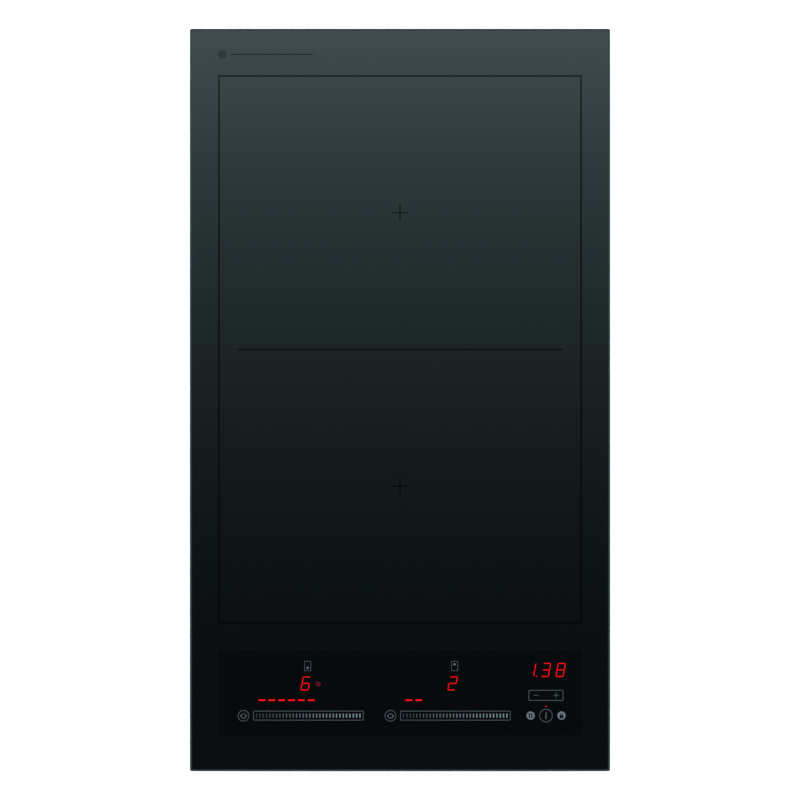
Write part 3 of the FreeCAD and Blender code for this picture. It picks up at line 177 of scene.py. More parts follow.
def finish_of(name, low, high, rough, scale, kind="noise", stretch=(1, 1, 1), metal=0.0,
              bump=0.0, bump_scale=None, coat=0.0):
    """A whole finish: colour, roughness and bump from textures in object space."""
    material, tree, shader = empty_material(name)
    grain = texture_value(tree, kind, scale, stretch)
    tree.links.new(ramp_between(tree, grain, low, high, 0.25, 0.75), shader.inputs["Base Color"])
    tree.links.new(value_between(tree, grain, *rough), shader.inputs["Roughness"])
    shader.inputs["Metallic"].default_value = metal
    shader.inputs["Coat Weight"].default_value = coat
    if bump:
        height = texture_value(tree, "noise", bump_scale, stretch, 6.0)
        relief = add_node(tree, "ShaderNodeBump")
        relief.inputs["Strength"].default_value = bump
        relief.inputs["Distance"].default_value = 0.2 * MM
        tree.links.new(height, relief.inputs["Height"])
        tree.links.new(relief.outputs["Normal"], shader.inputs["Normal"])
    return material


print("helpers ready")

# %% [markdown]
# ## Studio
#
# A mirror shows whatever faces it. Seen from above, the glass can only show what hangs
# over it, so its smooth change from slate grey at the back to near black at the front is
# made the way a studio makes it: with a card above the set, lit at one end. The card
# is wide enough to fill the reflection and no wider.
#
# The sky of the studio is bright at the horizon and dim higher up, so the glass stays dark
# in views from the side. The floor is a light table: it glows a little near the object,
# which leaves a soft shadow where the two meet, and more further out, where it has to run
# into the white horizon without an edge.

# %% The graded card over the glass
CARD_RISE = 2.5
CARD_MARGIN = 1.16
CARD_STRENGTH = 2.0
CARD_STOPS = [
    (0.00, (0.036, 0.048, 0.056)),
    (0.18, (0.035, 0.052, 0.059)),
    (0.24, (0.044, 0.066, 0.079)),
    (0.30, (0.055, 0.085, 0.100)),
    (0.43, (0.084, 0.134, 0.150)),
    (0.54, (0.125, 0.196, 0.216)),
    (0.635, (0.176, 0.286, 0.299)),
    (0.70, (0.228, 0.351, 0.380)),
    (0.77, (0.275, 0.441, 0.458)),
    (0.84, (0.366, 0.543, 0.580)),
    (0.90, (0.457, 0.677, 0.718)),
    (0.96, (0.563, 0.808, 0.876)),
    (1.00, (0.640, 0.925, 0.975)),
]


def emission_material(name, strength):
    """A plain light-emitting surface."""
    material, tree, shader = empty_material(name)
    tree.nodes.remove(shader)
    glow = add_node(tree, "ShaderNodeEmission")
    glow.inputs["Strength"].default_value = strength
    output = tree.nodes["Material Output"]
    tree.links.new(glow.outputs["Emission"], output.inputs["Surface"])
    return material, tree, glow


def graded_card():
    """A card that faces down, dark towards the user and pale towards the back."""
    spread = 1 + CARD_RISE / CAMERA_RISE
    half_x = cad_high.x * spread * CARD_MARGIN
    half_y = cad_high.y * spread
    mesh = bpy.data.meshes.new("graded_card")
    corners = [(-half_x, -half_y, 0), (-half_x, half_y, 0), (half_x, half_y, 0), (half_x, -half_y, 0)]
    mesh.from_pydata(corners, [], [(0, 1, 2, 3)])
    card = bpy.data.objects.new("graded_card", mesh)
    card.location = (0, 0, GLASS_TOP + CARD_RISE)
    bpy.context.scene.collection.objects.link(card)
    material, tree, glow = emission_material("graded_light", CARD_STRENGTH)
    place = add_node(tree, "ShaderNodeTexCoord")
    split = add_node(tree, "ShaderNodeSeparateXYZ")
    tree.links.new(place.outputs["Generated"], split.inputs["Vector"])
    ramp = add_node(tree, "ShaderNodeValToRGB")
    while len(ramp.color_ramp.elements) < len(CARD_STOPS):
        ramp.color_ramp.elements.new(0.5)
    for element, (position, colour) in zip(ramp.color_ramp.elements, CARD_STOPS):
        element.position = position
        element.color = (*colour, 1)
    tree.links.new(split.outputs["Y"], ramp.inputs["Fac"])
    tree.links.new(ramp.outputs["Color"], glow.inputs["Color"])
    mesh.materials.append(material)
    return half_x, half_y


print("card half size, m:", [round(v, 3) for v in graded_card()])

# %% A glowing floor
FLOOR_SIZE = 9.0
FLOOR_GAP = 0.02 * MM
FLOOR_GREY = 0.55
FLOOR_GLOW_NEAR = (0.56, 0.56, 0.56)
FLOOR_GLOW_FAR = (1.0, 1.0, 1.0)
FLOOR_GLOW_REACH = 3.0

floor_mesh = bpy.data.meshes.new("floor")
h = FLOOR_SIZE / 2
floor_mesh.from_pydata([(-h, -h, 0), (h, -h, 0), (h, h, 0), (-h, h, 0)], [], [(0, 1, 2, 3)])
floor = bpy.data.objects.new("floor", floor_mesh)
floor.location = (0, 0, cad_low.z - FLOOR_GAP)
bpy.context.scene.collection.objects.link(floor)
pale = finish_of("pale_floor", (FLOOR_GREY,) * 3, (FLOOR_GREY + 0.02,) * 3, (0.9, 1.0), 3.0)
table = pale.node_tree
table_place = add_node(table, "ShaderNodeTexCoord")
table_scale = add_node(table, "ShaderNodeMapping")
table_scale.inputs["Scale"].default_value = (1 / FLOOR_GLOW_REACH,) * 3
table_fade = add_node(table, "ShaderNodeTexGradient", gradient_type="SPHERICAL")
table.links.new(table_place.outputs["Object"], table_scale.inputs["Vector"])
table.links.new(table_scale.outputs["Vector"], table_fade.inputs["Vector"])
table.links.new(ramp_between(table, table_fade.outputs["Fac"], FLOOR_GLOW_FAR, FLOOR_GLOW_NEAR, 0.1, 0.8),
                table.nodes["Principled BSDF"].inputs["Emission Color"])
table.nodes["Principled BSDF"].inputs["Emission Strength"].default_value = 1.0
floor_mesh.materials.append(pale)
print("floor at, mm:", round(floor.location.z / MM, 2))

# %% Four soft lights and the sky
LIGHT_SIZE = 1.4
LIGHT_DISTANCE = 2.5
LIGHT_TILT = math.radians(54)
LIGHTS = {"rear_left": (135, 42), "rear_right": (45, 36), "front_right": (-45, 20), "front_left": (-135, 22)}
SKY_LOW = (1.0, 1.0, 1.0)
SKY_HIGH = (0.22, 0.24, 0.26)
SKY_BAND = (0.06, 0.36)

for name, (bearing, power) in LIGHTS.items():
    lamp_data = bpy.data.lights.new(name, "AREA")
    lamp_data.shape = "SQUARE"
    lamp_data.size = LIGHT_SIZE
    lamp_data.energy = power
    lamp = bpy.data.objects.new(name, lamp_data)
    around = math.radians(bearing)
    reach = LIGHT_DISTANCE * math.cos(LIGHT_TILT)
    rise = LIGHT_DISTANCE * math.sin(LIGHT_TILT)
    lamp.location = (reach * math.cos(around), reach * math.sin(around), rise)
    lamp.rotation_euler = Vector(lamp.location).to_track_quat("Z", "Y").to_euler()
    bpy.context.scene.collection.objects.link(lamp)

sky = bpy.data.worlds.new("studio_air")
bpy.context.scene.world = sky
sky.use_nodes = True
sky_place = add_node(sky.node_tree, "ShaderNodeTexCoord")
sky_split = add_node(sky.node_tree, "ShaderNodeSeparateXYZ")
sky.node_tree.links.new(sky_place.outputs["Generated"], sky_split.inputs["Vector"])
sky_colour = ramp_between(sky.node_tree, sky_split.outputs["Z"], SKY_LOW, SKY_HIGH, *SKY_BAND)
sky.node_tree.links.new(sky_colour, sky.node_tree.nodes["Background"].inputs["Color"])
print("lights:", sorted(LIGHTS))

# %% [markdown]
# ## Building thin flat things
#
# Ink on glass is a few hundredths of a millimetre thick. It could be painted into the
# glass's own material, but then it would have no edges of its own. Here each mark is a
# closed plate of real ink, cut to its outline and let into the glass so that its top is
# the highest face of the object. Outlines are lists of points in millimetres, seen from
# above; a ring is an outer outline and an inner one.

# %% Outlines in millimetres
def rounded_outline(cx, cy, width, depth, radius, steps=5):
    """A rectangle with round corners, counter-clockwise."""
    points = []
    for sx, sy, start in ((1, -1, -90), (1, 1, 0), (-1, 1, 90), (-1, -1, 180)):
        ox = cx + sx * (width / 2 - radius)
        oy = cy + sy * (depth / 2 - radius)
        for k in range(steps + 1):
            a = math.radians(start + 90 * k / steps)
            points.append((ox + radius * math.cos(a), oy + radius * math.sin(a)))
    return points


def box_outline(x0, y0, x1, y1):
    """A sharp-cornered rectangle between two corners."""
    return [(x0, y0), (x1, y0), (x1, y1), (x0, y1)]


def round_outline(cx, cy, radius, steps=40):
    """A circle."""
    turn = 2 * math.pi / steps
    return [(cx + radius * math.cos(k * turn), cy + radius * math.sin(k * turn)) for k in range(steps)]


def stroke_outline(points, width):
    """A line of some width along open points, with square ends and mitred corners."""
    left = []
    right = []
    for i, here in enumerate(points):
        before = Vector(points[max(i - 1, 0)])
        after = Vector(points[min(i + 1, len(points) - 1)])
        here = Vector(here)
        ways = [w.normalized() for w in (here - before, after - here) if w.length > 0]
        along = (ways[0] + ways[-1]).normalized()
        side = Vector((-along.y, along.x))
        square = Vector((-ways[0].y, ways[0].x))
        reach = width / 2 / max(side.dot(square), 0.3)
        left.append(tuple(here + side * reach))
        right.append(tuple(here - side * reach))
    return right + left[::-1]


def arc_points(cx, cy, radius, start, end, steps=16):
    """Points along part of a circle, angles in degrees."""
    angles = [math.radians(start + (end - start) * k / steps) for k in range(steps + 1)]
    return [(cx + radius * math.cos(a), cy + radius * math.sin(a)) for a in angles]


print("outline helpers ready")

# %% Plates cut from outlines
INK_DEPTH = 0.05
INK_TOP = GLASS_TOP
INK_STEP = 0.012 * MM
GLASS_FACE = GLASS_TOP - 3 * INK_STEP


def link_piece(name, bm, materials):
    """Turn a bmesh into a piece that rides on the cooktop."""
    bmesh.ops.recalc_face_normals(bm, faces=bm.faces[:])
    mesh = bpy.data.meshes.new(name)
    bm.to_mesh(mesh)
    bm.free()
    piece = bpy.data.objects.new(name, mesh)
    bpy.context.scene.collection.objects.link(piece)
    for material in materials:
        mesh.materials.append(material)
    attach(piece, BODY)
    return piece


def add_plate(bm, outer, inner, low, high):
    """One closed plate between two heights, solid or with a window of as many points."""
    rings = []
    for outline in (outer, inner):
        if outline:
            rings.append([[bm.verts.new((x * MM, y * MM, z)) for x, y in outline] for z in (low, high)])
    for lower, upper in rings:
        for i in range(len(lower)):
            j = (i + 1) % len(lower)
            bm.faces.new((lower[i], lower[j], upper[j], upper[i]))
    if inner:
        for level in (0, 1):
            a = rings[0][level]
            b = rings[1][level]
            for i in range(len(a)):
                j = (i + 1) % len(a)
                bm.faces.new((a[i], a[j], b[j], b[i]))
    else:
        bm.faces.new(rings[0][0])
        bm.faces.new(rings[0][1])


def ink_piece(name, shapes, material, top=INK_TOP):
    """Marks of one ink: each shape is an outline, or a pair of outer and inner outlines."""
    bm = bmesh.new()
    for shape in shapes:
        outer, inner = shape if isinstance(shape, tuple) else (shape, None)
        add_plate(bm, outer, inner, GLASS_FACE - INK_DEPTH * MM, top)
    piece = link_piece(name, bm, [material])
    print(f"{name}: {len(shapes)} marks, {len(piece.data.polygons)} faces")


def frame_shape(cx, cy, width, depth, radius, line):
    """A rounded frame line, measured on its outer edge."""
    outer = rounded_outline(cx, cy, width, depth, radius)
    inner = rounded_outline(cx, cy, width - 2 * line, depth - 2 * line, max(radius - line, 0.15))
    return (outer, inner)


def circle_shape(cx, cy, radius, line):
    """A circle line, measured on its outer edge."""
    return (round_outline(cx, cy, radius), round_outline(cx, cy, radius - line))


print("ink stands above the glass by, mm:", round(3 * INK_STEP / MM, 3))

# %% [markdown]
# ## The glass-ceramic top
#
# The plate is opaque black glass-ceramic, 4 mm thick, polished on top, with small plan
# corners and a ground bevel all round that catches the light as a thin pale line. The
# mechanical solid has that bevel as one flat cut. This piece takes its place with the
# same outer size, and its arrises are eased, because a real wheel never leaves them sharp.
# The top is a mirror; the bevel and the sides are ground and a little duller.

# %% Glass finishes
def glass_finish():
    """Polished black glass-ceramic with the faintest unevenness of rolled glass."""
    material, tree, shader = empty_material("black_glass")
    body = texture_value(tree, "noise", 9.0)
    tree.links.new(ramp_between(tree, body, (0.0002, 0.0003, 0.0004), (0.0003, 0.0004, 0.0005)),
                   shader.inputs["Base Color"])
    tree.links.new(value_between(tree, body, 0.012, 0.022), shader.inputs["Roughness"])
    shader.inputs["IOR"].default_value = 1.5
    return material


def ground_edge_finish():
    """The bevel and sides, ground with a fine wheel and polished."""
    material = finish_of("ground_edge", (0.008, 0.018, 0.020), (0.013, 0.025, 0.028), (0.12, 0.22), 700.0,
                         bump=0.05, bump_scale=2500.0)
    shader = material.node_tree.nodes["Principled BSDF"]
    shader.inputs["Specular Tint"].default_value = (0.70, 0.95, 0.98, 1)
    return material


black_glass = glass_finish()
ground_edge = ground_edge_finish()
print("glass finishes:", black_glass.name, ground_edge.name)

# %% The plate itself
PLATE_CORNER = 1.4
BEVEL = 1.35
BEVEL_DROP = 0.8
ARRIS = 0.06
LOWER_ARRIS = 0.35


def glass_plate():
    """The top plate as a loft of rounded outlines from its lower arris to its polished face."""
    low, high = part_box("glass_top")
    width = (high.x - low.x) / MM
    depth = (high.y - low.y) / MM
    z0 = low.z / MM
    z1 = GLASS_FACE / MM
    profile = [(LOWER_ARRIS, z0), (0.1 * LOWER_ARRIS, z0 + 0.3 * LOWER_ARRIS), (0, z0 + LOWER_ARRIS),
               (0, z1 - BEVEL_DROP - ARRIS), (0.3 * ARRIS, z1 - BEVEL_DROP),
               (BEVEL - ARRIS, z1 - 0.6 * ARRIS), (BEVEL, z1 - 0.2 * ARRIS), (BEVEL + ARRIS, z1)]
    bm = bmesh.new()
    rings = []
    for inset, z in profile:
        radius = max(PLATE_CORNER - inset, 0.35)
        outline = rounded_outline(0, 0, width - 2 * inset, depth - 2 * inset, radius, 8)
        rings.append([bm.verts.new((x * MM, y * MM, z * MM)) for x, y in outline])
    for lower, upper in zip(rings, rings[1:]):
        for i in range(len(lower)):
            j = (i + 1) % len(lower)
            bm.faces.new((lower[i], lower[j], upper[j], upper[i])).material_index = 1
    bm.faces.new(rings[0]).material_index = 0
    bm.faces.new(rings[-1]).material_index = 0
    plate = link_piece("glass_plate", bm, [black_glass, ground_edge])
    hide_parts("glass_top")
    return plate


plate = glass_plate()
print("glass plate faces:", len(plate.data.polygons))

# %% [markdown]
# ## Cooking-area print
#
# The zones are drawn with a dark ceramic ink that is fired onto the glass. It reflects about
# a quarter as much as the polish round it, so it shows as a darker line where the glass
# shines, and almost vanishes where the glass is dark. A lower index of refraction gives
# exactly that: less mirror, no extra colour. The window behind the controls has a milder
# ink of the same kind.

# %% Dark inks
def dull_ink(name, ior, rough):
    """Black ceramic ink with less reflection than the glass."""
    material, tree, shader = empty_material(name)
    grain = texture_value(tree, "noise", 1800.0)
    tree.links.new(ramp_between(tree, grain, (0.0003, 0.0004, 0.0005), (0.0006, 0.0008, 0.0010)),
                   shader.inputs["Base Color"])
    tree.links.new(value_between(tree, grain, *rough), shader.inputs["Roughness"])
    shader.inputs["IOR"].default_value = ior
    return material


zone_ink = dull_ink("zone_ink", 1.22, (0.03, 0.06))
window_ink = dull_ink("window_ink", 1.36, (0.015, 0.03))
print("inks:", zone_ink.name, window_ink.name)

# %% The zone outline, the line between the zones and the two crosses
ZONE_X = 129.2
ZONE_REAR_Y = 231.2
ZONE_SPLIT_Y = 36.0
ZONE_FRONT_Y = -159.1
ZONE_LINE = 1.25
SPLIT_REACH = 115.4
CROSS = 11.5
CROSS_LINE = 1.0


def plus_outline(cx, cy, size, line):
    """A plus sign as one twelve-sided outline."""
    a = size / 2
    b = line / 2
    corners = [(-b, -a), (b, -a), (b, -b), (a, -b), (a, b), (b, b), (b, a), (-b, a), (-b, b), (-a, b),
               (-a, -b), (-b, -b)]
    return [(cx + x, cy + y) for x, y in corners]


def zone_marks():
    """All the dark lines of the cooking area."""
    out = ZONE_LINE / 2
    outer = box_outline(-ZONE_X - out, ZONE_FRONT_Y - out, ZONE_X + out, ZONE_REAR_Y + out)
    inner = box_outline(-ZONE_X + out, ZONE_FRONT_Y + out, ZONE_X - out, ZONE_REAR_Y - out)
    split = box_outline(-SPLIT_REACH, ZONE_SPLIT_Y - out, SPLIT_REACH, ZONE_SPLIT_Y + out)
    centres = [(ZONE_REAR_Y + ZONE_SPLIT_Y) / 2, (ZONE_FRONT_Y + ZONE_SPLIT_Y) / 2]
    return [(outer, inner), split] + [plus_outline(0, y, CROSS, CROSS_LINE) for y in centres]


ink_piece("zone_print", zone_marks(), zone_ink)

# %% The darker window behind the controls
WINDOW_X = 129.8
WINDOW_REAR_Y = -178.3
WINDOW_FRONT_Y = -239.0
window_d = WINDOW_REAR_Y - WINDOW_FRONT_Y
window = rounded_outline(0, (WINDOW_REAR_Y + WINDOW_FRONT_Y) / 2, 2 * WINDOW_X, window_d, 1.0)
ink_piece("control_window", [window], window_ink, top=INK_TOP - 2 * INK_STEP)

# %% [markdown]
# ## Control marks
#
# The touch controls are printed in a cool grey. Both zones have the same set: a key with a
# pan on it, and a slider of 32 strokes in a frame. The strokes get wider and paler from low
# heat to high, which is done here in the outline and in the ink, not with 32 materials:
# the ink reads how far along the slider it lies.

# %% Grey inks
INK_GRAIN = 0.12
INK_ROUGHNESS = 0.18
INK_IOR = 1.42


def grey_ink(name, colour):
    """Cool grey ceramic ink with a slight screen-print grain."""
    material, tree, shader = empty_material(name)
    grain = texture_value(tree, "noise", 2600.0)
    dim = tuple(c * (1 - INK_GRAIN) for c in colour)
    lit = tuple(c * (1 + INK_GRAIN) for c in colour)
    tree.links.new(ramp_between(tree, grain, dim, lit), shader.inputs["Base Color"])
    shader.inputs["Roughness"].default_value = INK_ROUGHNESS
    shader.inputs["IOR"].default_value = INK_IOR
    return material


def stroke_ink(name, dim, lit):
    """Grey ink that gets paler along the piece's width."""
    material, tree, shader = empty_material(name)
    place = add_node(tree, "ShaderNodeTexCoord")
    split = add_node(tree, "ShaderNodeSeparateXYZ")
    tree.links.new(place.outputs["Generated"], split.inputs["Vector"])
    tree.links.new(ramp_between(tree, split.outputs["X"], dim, lit), shader.inputs["Base Color"])
    shader.inputs["Roughness"].default_value = INK_ROUGHNESS
    shader.inputs["IOR"].default_value = INK_IOR
    return material


line_ink = grey_ink("line_ink", (0.034, 0.052, 0.062))
bright_ink = grey_ink("bright_ink", (0.082, 0.114, 0.128))
tick_ink = stroke_ink("tick_ink", (0.018, 0.029, 0.035), (0.112, 0.158, 0.176))
print("grey inks:", line_ink.name, bright_ink.name, tick_ink.name)

# %% Sliders
SLIDER_XS = {"left": -65.35, "right": 39.52}
SLIDER_Y = -225.2
SLIDER_L = 78.8
SLIDER_H = 6.9
SLIDER_LINE = 0.46
TICKS = 32
TICK_H = 2.9
TICK_FIRST = 2.4
TICK_LAST = 2.65
TICK_THIN = 0.64
TICK_WIDE = 0.92


def tick_shapes(centre_x):
    """The strokes of one slider, wider towards the right."""
    first = centre_x - SLIDER_L / 2 + TICK_FIRST
    last = centre_x + SLIDER_L / 2 - TICK_LAST
    shapes = []
    for k in range(TICKS):
        share = k / (TICKS - 1)
        width = TICK_THIN + (TICK_WIDE - TICK_THIN) * share
        shapes.append(rounded_outline(first + (last - first) * share, SLIDER_Y, width, TICK_H, 0.18, 2))
    return shapes


for side, x in SLIDER_XS.items():
    outline = frame_shape(x, SLIDER_Y, SLIDER_L, SLIDER_H, 1.0, SLIDER_LINE)
    ink_piece(side + "_slider_frame", [outline], line_ink)
    ink_piece(side + "_slider_strokes", tick_shapes(x), tick_ink)

# %% Pan keys
PAN_KEY_DX = -46.3
PAN_KEY_R = 4.1
PAN_LINE = 0.44
PAN_HALF = 1.75
BOWL_FLATNESS = 0.92
BOWL_LINE = 0.32
LID_LIFT = 0.3
LID_FLATNESS = 0.85
LID_LINE = 0.24
HANDLE_W = 0.9
HANDLE_H = 0.5


def pan_sign(cx, cy):
    """A lidded pan seen from the side: a bowl, a domed lid and two handles."""
    bowl = [(x, cy + (y - cy) * BOWL_FLATNESS) for x, y in arc_points(cx, cy, PAN_HALF, 180, 360, 14)]
    lid = [(x, cy + LID_LIFT + (y - cy) * LID_FLATNESS)
           for x, y in arc_points(cx, cy, PAN_HALF - 0.3, 0, 180, 12)]
    handles = [rounded_outline(cx + s * (PAN_HALF + 0.25), cy + 0.1, HANDLE_W, HANDLE_H, 0.15, 2)
               for s in (-1, 1)]
    return [stroke_outline(bowl, BOWL_LINE), stroke_outline(lid, LID_LINE)] + handles


for side, x in SLIDER_XS.items():
    key_x = x + PAN_KEY_DX
    key_ring = circle_shape(key_x, SLIDER_Y - 0.1, PAN_KEY_R, PAN_LINE)
    ink_piece(side + "_pan_key_ring", [key_ring], line_ink)
    ink_piece(side + "_pan_key_sign", pan_sign(key_x, SLIDER_Y - 0.15), bright_ink)

# %% Zone keys: which of the two zones a slider works on
ZONE_KEY_DX = -0.55
ZONE_KEY_Y = -189.8
ZONE_KEY_W = 4.8
ZONE_KEY_H = 7.1
ZONE_KEY_LINE = 0.38
ZONE_DOT_R = 0.76
ZONE_DOT_DY = {"left": -1.25, "right": 1.25}

for side, x in SLIDER_XS.items():
    key_x = x + ZONE_KEY_DX
    key_frame = frame_shape(key_x, ZONE_KEY_Y, ZONE_KEY_W, ZONE_KEY_H, 0.4, ZONE_KEY_LINE)
    key_dot = round_outline(key_x, ZONE_KEY_Y + ZONE_DOT_DY[side], ZONE_DOT_R, 24)
    ink_piece(side + "_zone_key", [key_frame], line_ink)
    ink_piece(side + "_zone_key_dot", [key_dot], bright_ink)

# %% Timer keys
TIMER_X = 104.05
TIMER_KEYS_Y = -210.75
TIMER_KEYS_W = 24.9
TIMER_KEYS_H = 7.65
MINUS_X = 97.25
PLUS_X = 111.45
SIGN = 3.9
SIGN_LINE = 0.44

timer_marks = [
    frame_shape(TIMER_X, TIMER_KEYS_Y, TIMER_KEYS_W, TIMER_KEYS_H, 0.8, SLIDER_LINE),
    rounded_outline(MINUS_X, TIMER_KEYS_Y, SIGN, SIGN_LINE, 0.15, 2),
    plus_outline(PLUS_X, TIMER_KEYS_Y, SIGN, SIGN_LINE),
]
ink_piece("timer_keys", timer_marks, line_ink)

# %% Power, pause and lock keys
KEYS_Y = -225.15
POWER_X = 104.2
POWER_R = 4.75
POWER_LINE = 0.47
POWER_BAR = (0.85, 4.8)
SIDE_KEY_DX = 11.0
SIDE_KEY_R = 2.9
PAUSE_BAR = (0.95, 3.6)
PAUSE_DX = 0.85
LOCK_BODY = (2.7, 2.1)
LOCK_BODY_DY = -0.8
SHACKLE_R = 0.8
SHACKLE_DY = 0.65
SHACKLE_LINE = 0.55


def lock_sign(cx, cy):
    """A closed padlock: a body and a shackle."""
    arch = arc_points(cx, cy + SHACKLE_DY, SHACKLE_R, 0, 180, 10)
    shackle = [(cx + SHACKLE_R, cy + 0.1)] + arch + [(cx - SHACKLE_R, cy + 0.1)]
    body = rounded_outline(cx, cy + LOCK_BODY_DY, *LOCK_BODY, 0.3, 3)
    return [body, stroke_outline(shackle, SHACKLE_LINE)]


power_ring = circle_shape(POWER_X, KEYS_Y, POWER_R, POWER_LINE)
power_bar = rounded_outline(POWER_X, KEYS_Y, *POWER_BAR, 0.2, 2)
ink_piece("power_key", [power_ring, power_bar], line_ink)

pause_x = POWER_X - SIDE_KEY_DX
lock_x = POWER_X + SIDE_KEY_DX
key_discs = [round_outline(x, KEYS_Y, SIDE_KEY_R) for x in (pause_x, lock_x)]
pause_bars = [rounded_outline(pause_x + s * PAUSE_DX, KEYS_Y, *PAUSE_BAR, 0.15, 2) for s in (-1, 1)]
key_signs = pause_bars + lock_sign(lock_x, KEYS_Y)
ink_piece("pause_and_lock_discs", key_discs, bright_ink, top=INK_TOP - INK_STEP)
ink_piece("pause_and_lock_signs", key_signs, window_ink)

# %% [markdown]
# ## A plain mark at the back
#
# Cooktops often carry a maker's line at the back left. This one gets a neutral sign for
# what it is: one coil seen from above, and a fine rule beside it, in the zones' dark ink.

# %% A printed coil and a rule
MARK_X = -126.9
MARK_Y = 246.6
MARK_LINE = 0.7
MARK_RADII = (2.8, 1.3)
RULE_START = 6.0
RULE_L = 59.0
RULE_LINE = 0.7

coil_mark = [circle_shape(MARK_X, MARK_Y, r, MARK_LINE) for r in MARK_RADII]
coil_mark.append(rounded_outline(MARK_X + RULE_START + RULE_L / 2, MARK_Y, RULE_L, RULE_LINE, 0.3, 2))
ink_piece("coil_mark", coil_mark, zone_ink)

# %% [markdown]
# ## Red light
#
# The digits, the level bars and two small lamps shine through the window from modules
# under the glass. The glass scatters nothing, so each segment keeps a crisp edge. The lit
# shapes are let into the top like the ink. The digits are the usual seven segments, each a
# flat hexagon, leaning to the right by ten degrees.

# %% Light finishes
def red_light(name, strength, dim, lit):
    """Light-emitting red behind smoked glass, a little uneven over each segment."""
    material, tree, shader = empty_material(name)
    shader.inputs["Base Color"].default_value = (0.02, 0.0, 0.0, 1)
    shader.inputs["Roughness"].default_value = 0.05
    shader.inputs["Emission Strength"].default_value = strength
    cloud = texture_value(tree, "noise", 900.0)
    tree.links.new(ramp_between(tree, cloud, dim, lit), shader.inputs["Emission Color"])
    return material


segment_red = red_light("segment_red", 1.35, (0.88, 0.0002, 0.0025), (1.0, 0.0005, 0.005))
lamp_red = red_light("lamp_red", 0.8, (0.86, 0.002, 0.055), (1.0, 0.004, 0.070))
print("lights:", segment_red.name, lamp_red.name)

# %% Seven-segment digits
DIGIT_W = 5.7
DIGIT_H = 9.85
SEGMENT = 0.52
SEGMENT_GAP = 0.2
LEAN = math.tan(math.radians(10))
SEGMENTS_OF = {"1": "bc", "2": "abged", "3": "abgcd", "6": "afgedc", "8": "abcdefg"}


def segment_outline(name):
    """One segment of an upright digit centred on the origin, as a flat hexagon."""
    w = DIGIT_W / 2 - SEGMENT / 2
    q = DIGIT_H / 2 - SEGMENT / 2
    t = SEGMENT / 2
    g = SEGMENT_GAP
    if name in "adg":
        y = {"a": q, "g": 0.0, "d": -q}[name]
        return [(-w + g, y), (-w + t + g, y - t), (w - t - g, y - t), (w - g, y), (w - t - g, y + t),
                (-w + t + g, y + t)]
    x = w if name in "bc" else -w
    low, high = (0.0, q) if name in "bf" else (-q, 0.0)
    return [(x, low + g), (x + t, low + t + g), (x + t, high - t - g), (x, high - g), (x - t, high - t - g),
            (x - t, low + t + g)]


def digit_shapes(digit, cx, cy):
    """The lit segments of one leaning digit."""
    shapes = []
    for name in SEGMENTS_OF[digit]:
        shapes.append([(cx + x + y * LEAN, cy + y) for x, y in segment_outline(name)])
    return shapes


DIGIT_DX = -1.95
DIGIT_Y = -202.25
LEVELS = {"left": 6, "right": 2}
TIMER_DIGIT_Y = -192.6
TIMER_DIGITS = {"1": 93.55, "3": 104.15, "8": 114.6}
TIMER_DOT = (97.5, -197.2)
TIMER_DOT_R = 0.36

for side, level in LEVELS.items():
    lit_segments = digit_shapes(str(level), SLIDER_XS[side] + DIGIT_DX, DIGIT_Y)
    ink_piece(side + "_level_digit", lit_segments, segment_red)

timer_shapes = []
for digit, digit_x in TIMER_DIGITS.items():
    timer_shapes += digit_shapes(digit, digit_x, TIMER_DIGIT_Y)
timer_shapes.append(round_outline(*TIMER_DOT, TIMER_DOT_R, 20))
ink_piece("timer_digits", timer_shapes, segment_red)

# %% Level bars and small lamps
BAR_FIRST_DX = -33.2
BAR_PITCH = 7.04
BAR_Y = -214.2
BAR_W = 4.7
BAR_H = 0.96
CLOCK = (-58.25, -202.4)
CLOCK_R = 1.35
CLOCK_LINE = 0.19
HAND_LINE = 0.17
POWER_LAMP = (104.1, -218.4)
POWER_LAMP_R = 0.44

for side, x in SLIDER_XS.items():
    first = x + BAR_FIRST_DX
    bars = [rounded_outline(first + k * BAR_PITCH, BAR_Y, BAR_W, BAR_H, 0.3, 3) for k in range(LEVELS[side])]
    ink_piece(side + "_level_bars", bars, segment_red)

clock_x, clock_y = CLOCK
clock_ring = stroke_outline(arc_points(clock_x, clock_y, CLOCK_R, 98, 375, 28), CLOCK_LINE)
clock_hand = stroke_outline([(clock_x - 0.1, clock_y - 0.1), (clock_x + 0.85, clock_y + 1.0)], HAND_LINE)
ink_piece("timer_lamp", [clock_ring, clock_hand], lamp_red)
ink_piece("power_lamp", [round_outline(*POWER_LAMP, POWER_LAMP_R, 24)], lamp_red)

# %% [markdown]
# ## Foam seal and silicone
#
# The glass rests on the worktop through a self-adhesive foam tape, which is cut square but
# is never quite straight or sharp: its edges are soft and it bulges a little between the
# glass and whatever presses it. Its solid is four plain strips, so it is replaced. Each
# strip is lofted along its length from a soft-cornered section that breathes slightly.

# %% Foam and silicone finishes
foam = finish_of("foam_tape", (0.018, 0.018, 0.020), (0.045, 0.045, 0.048), (0.85, 1.0), 1400.0,
                 kind="voronoi", bump=0.6, bump_scale=1600.0)
silicone = finish_of("silicone_bead", (0.010, 0.010, 0.011), (0.020, 0.020, 0.021), (0.25, 0.45), 160.0,
                     bump=0.15, bump_scale=300.0)
print("soft finishes:", foam.name, silicone.name)


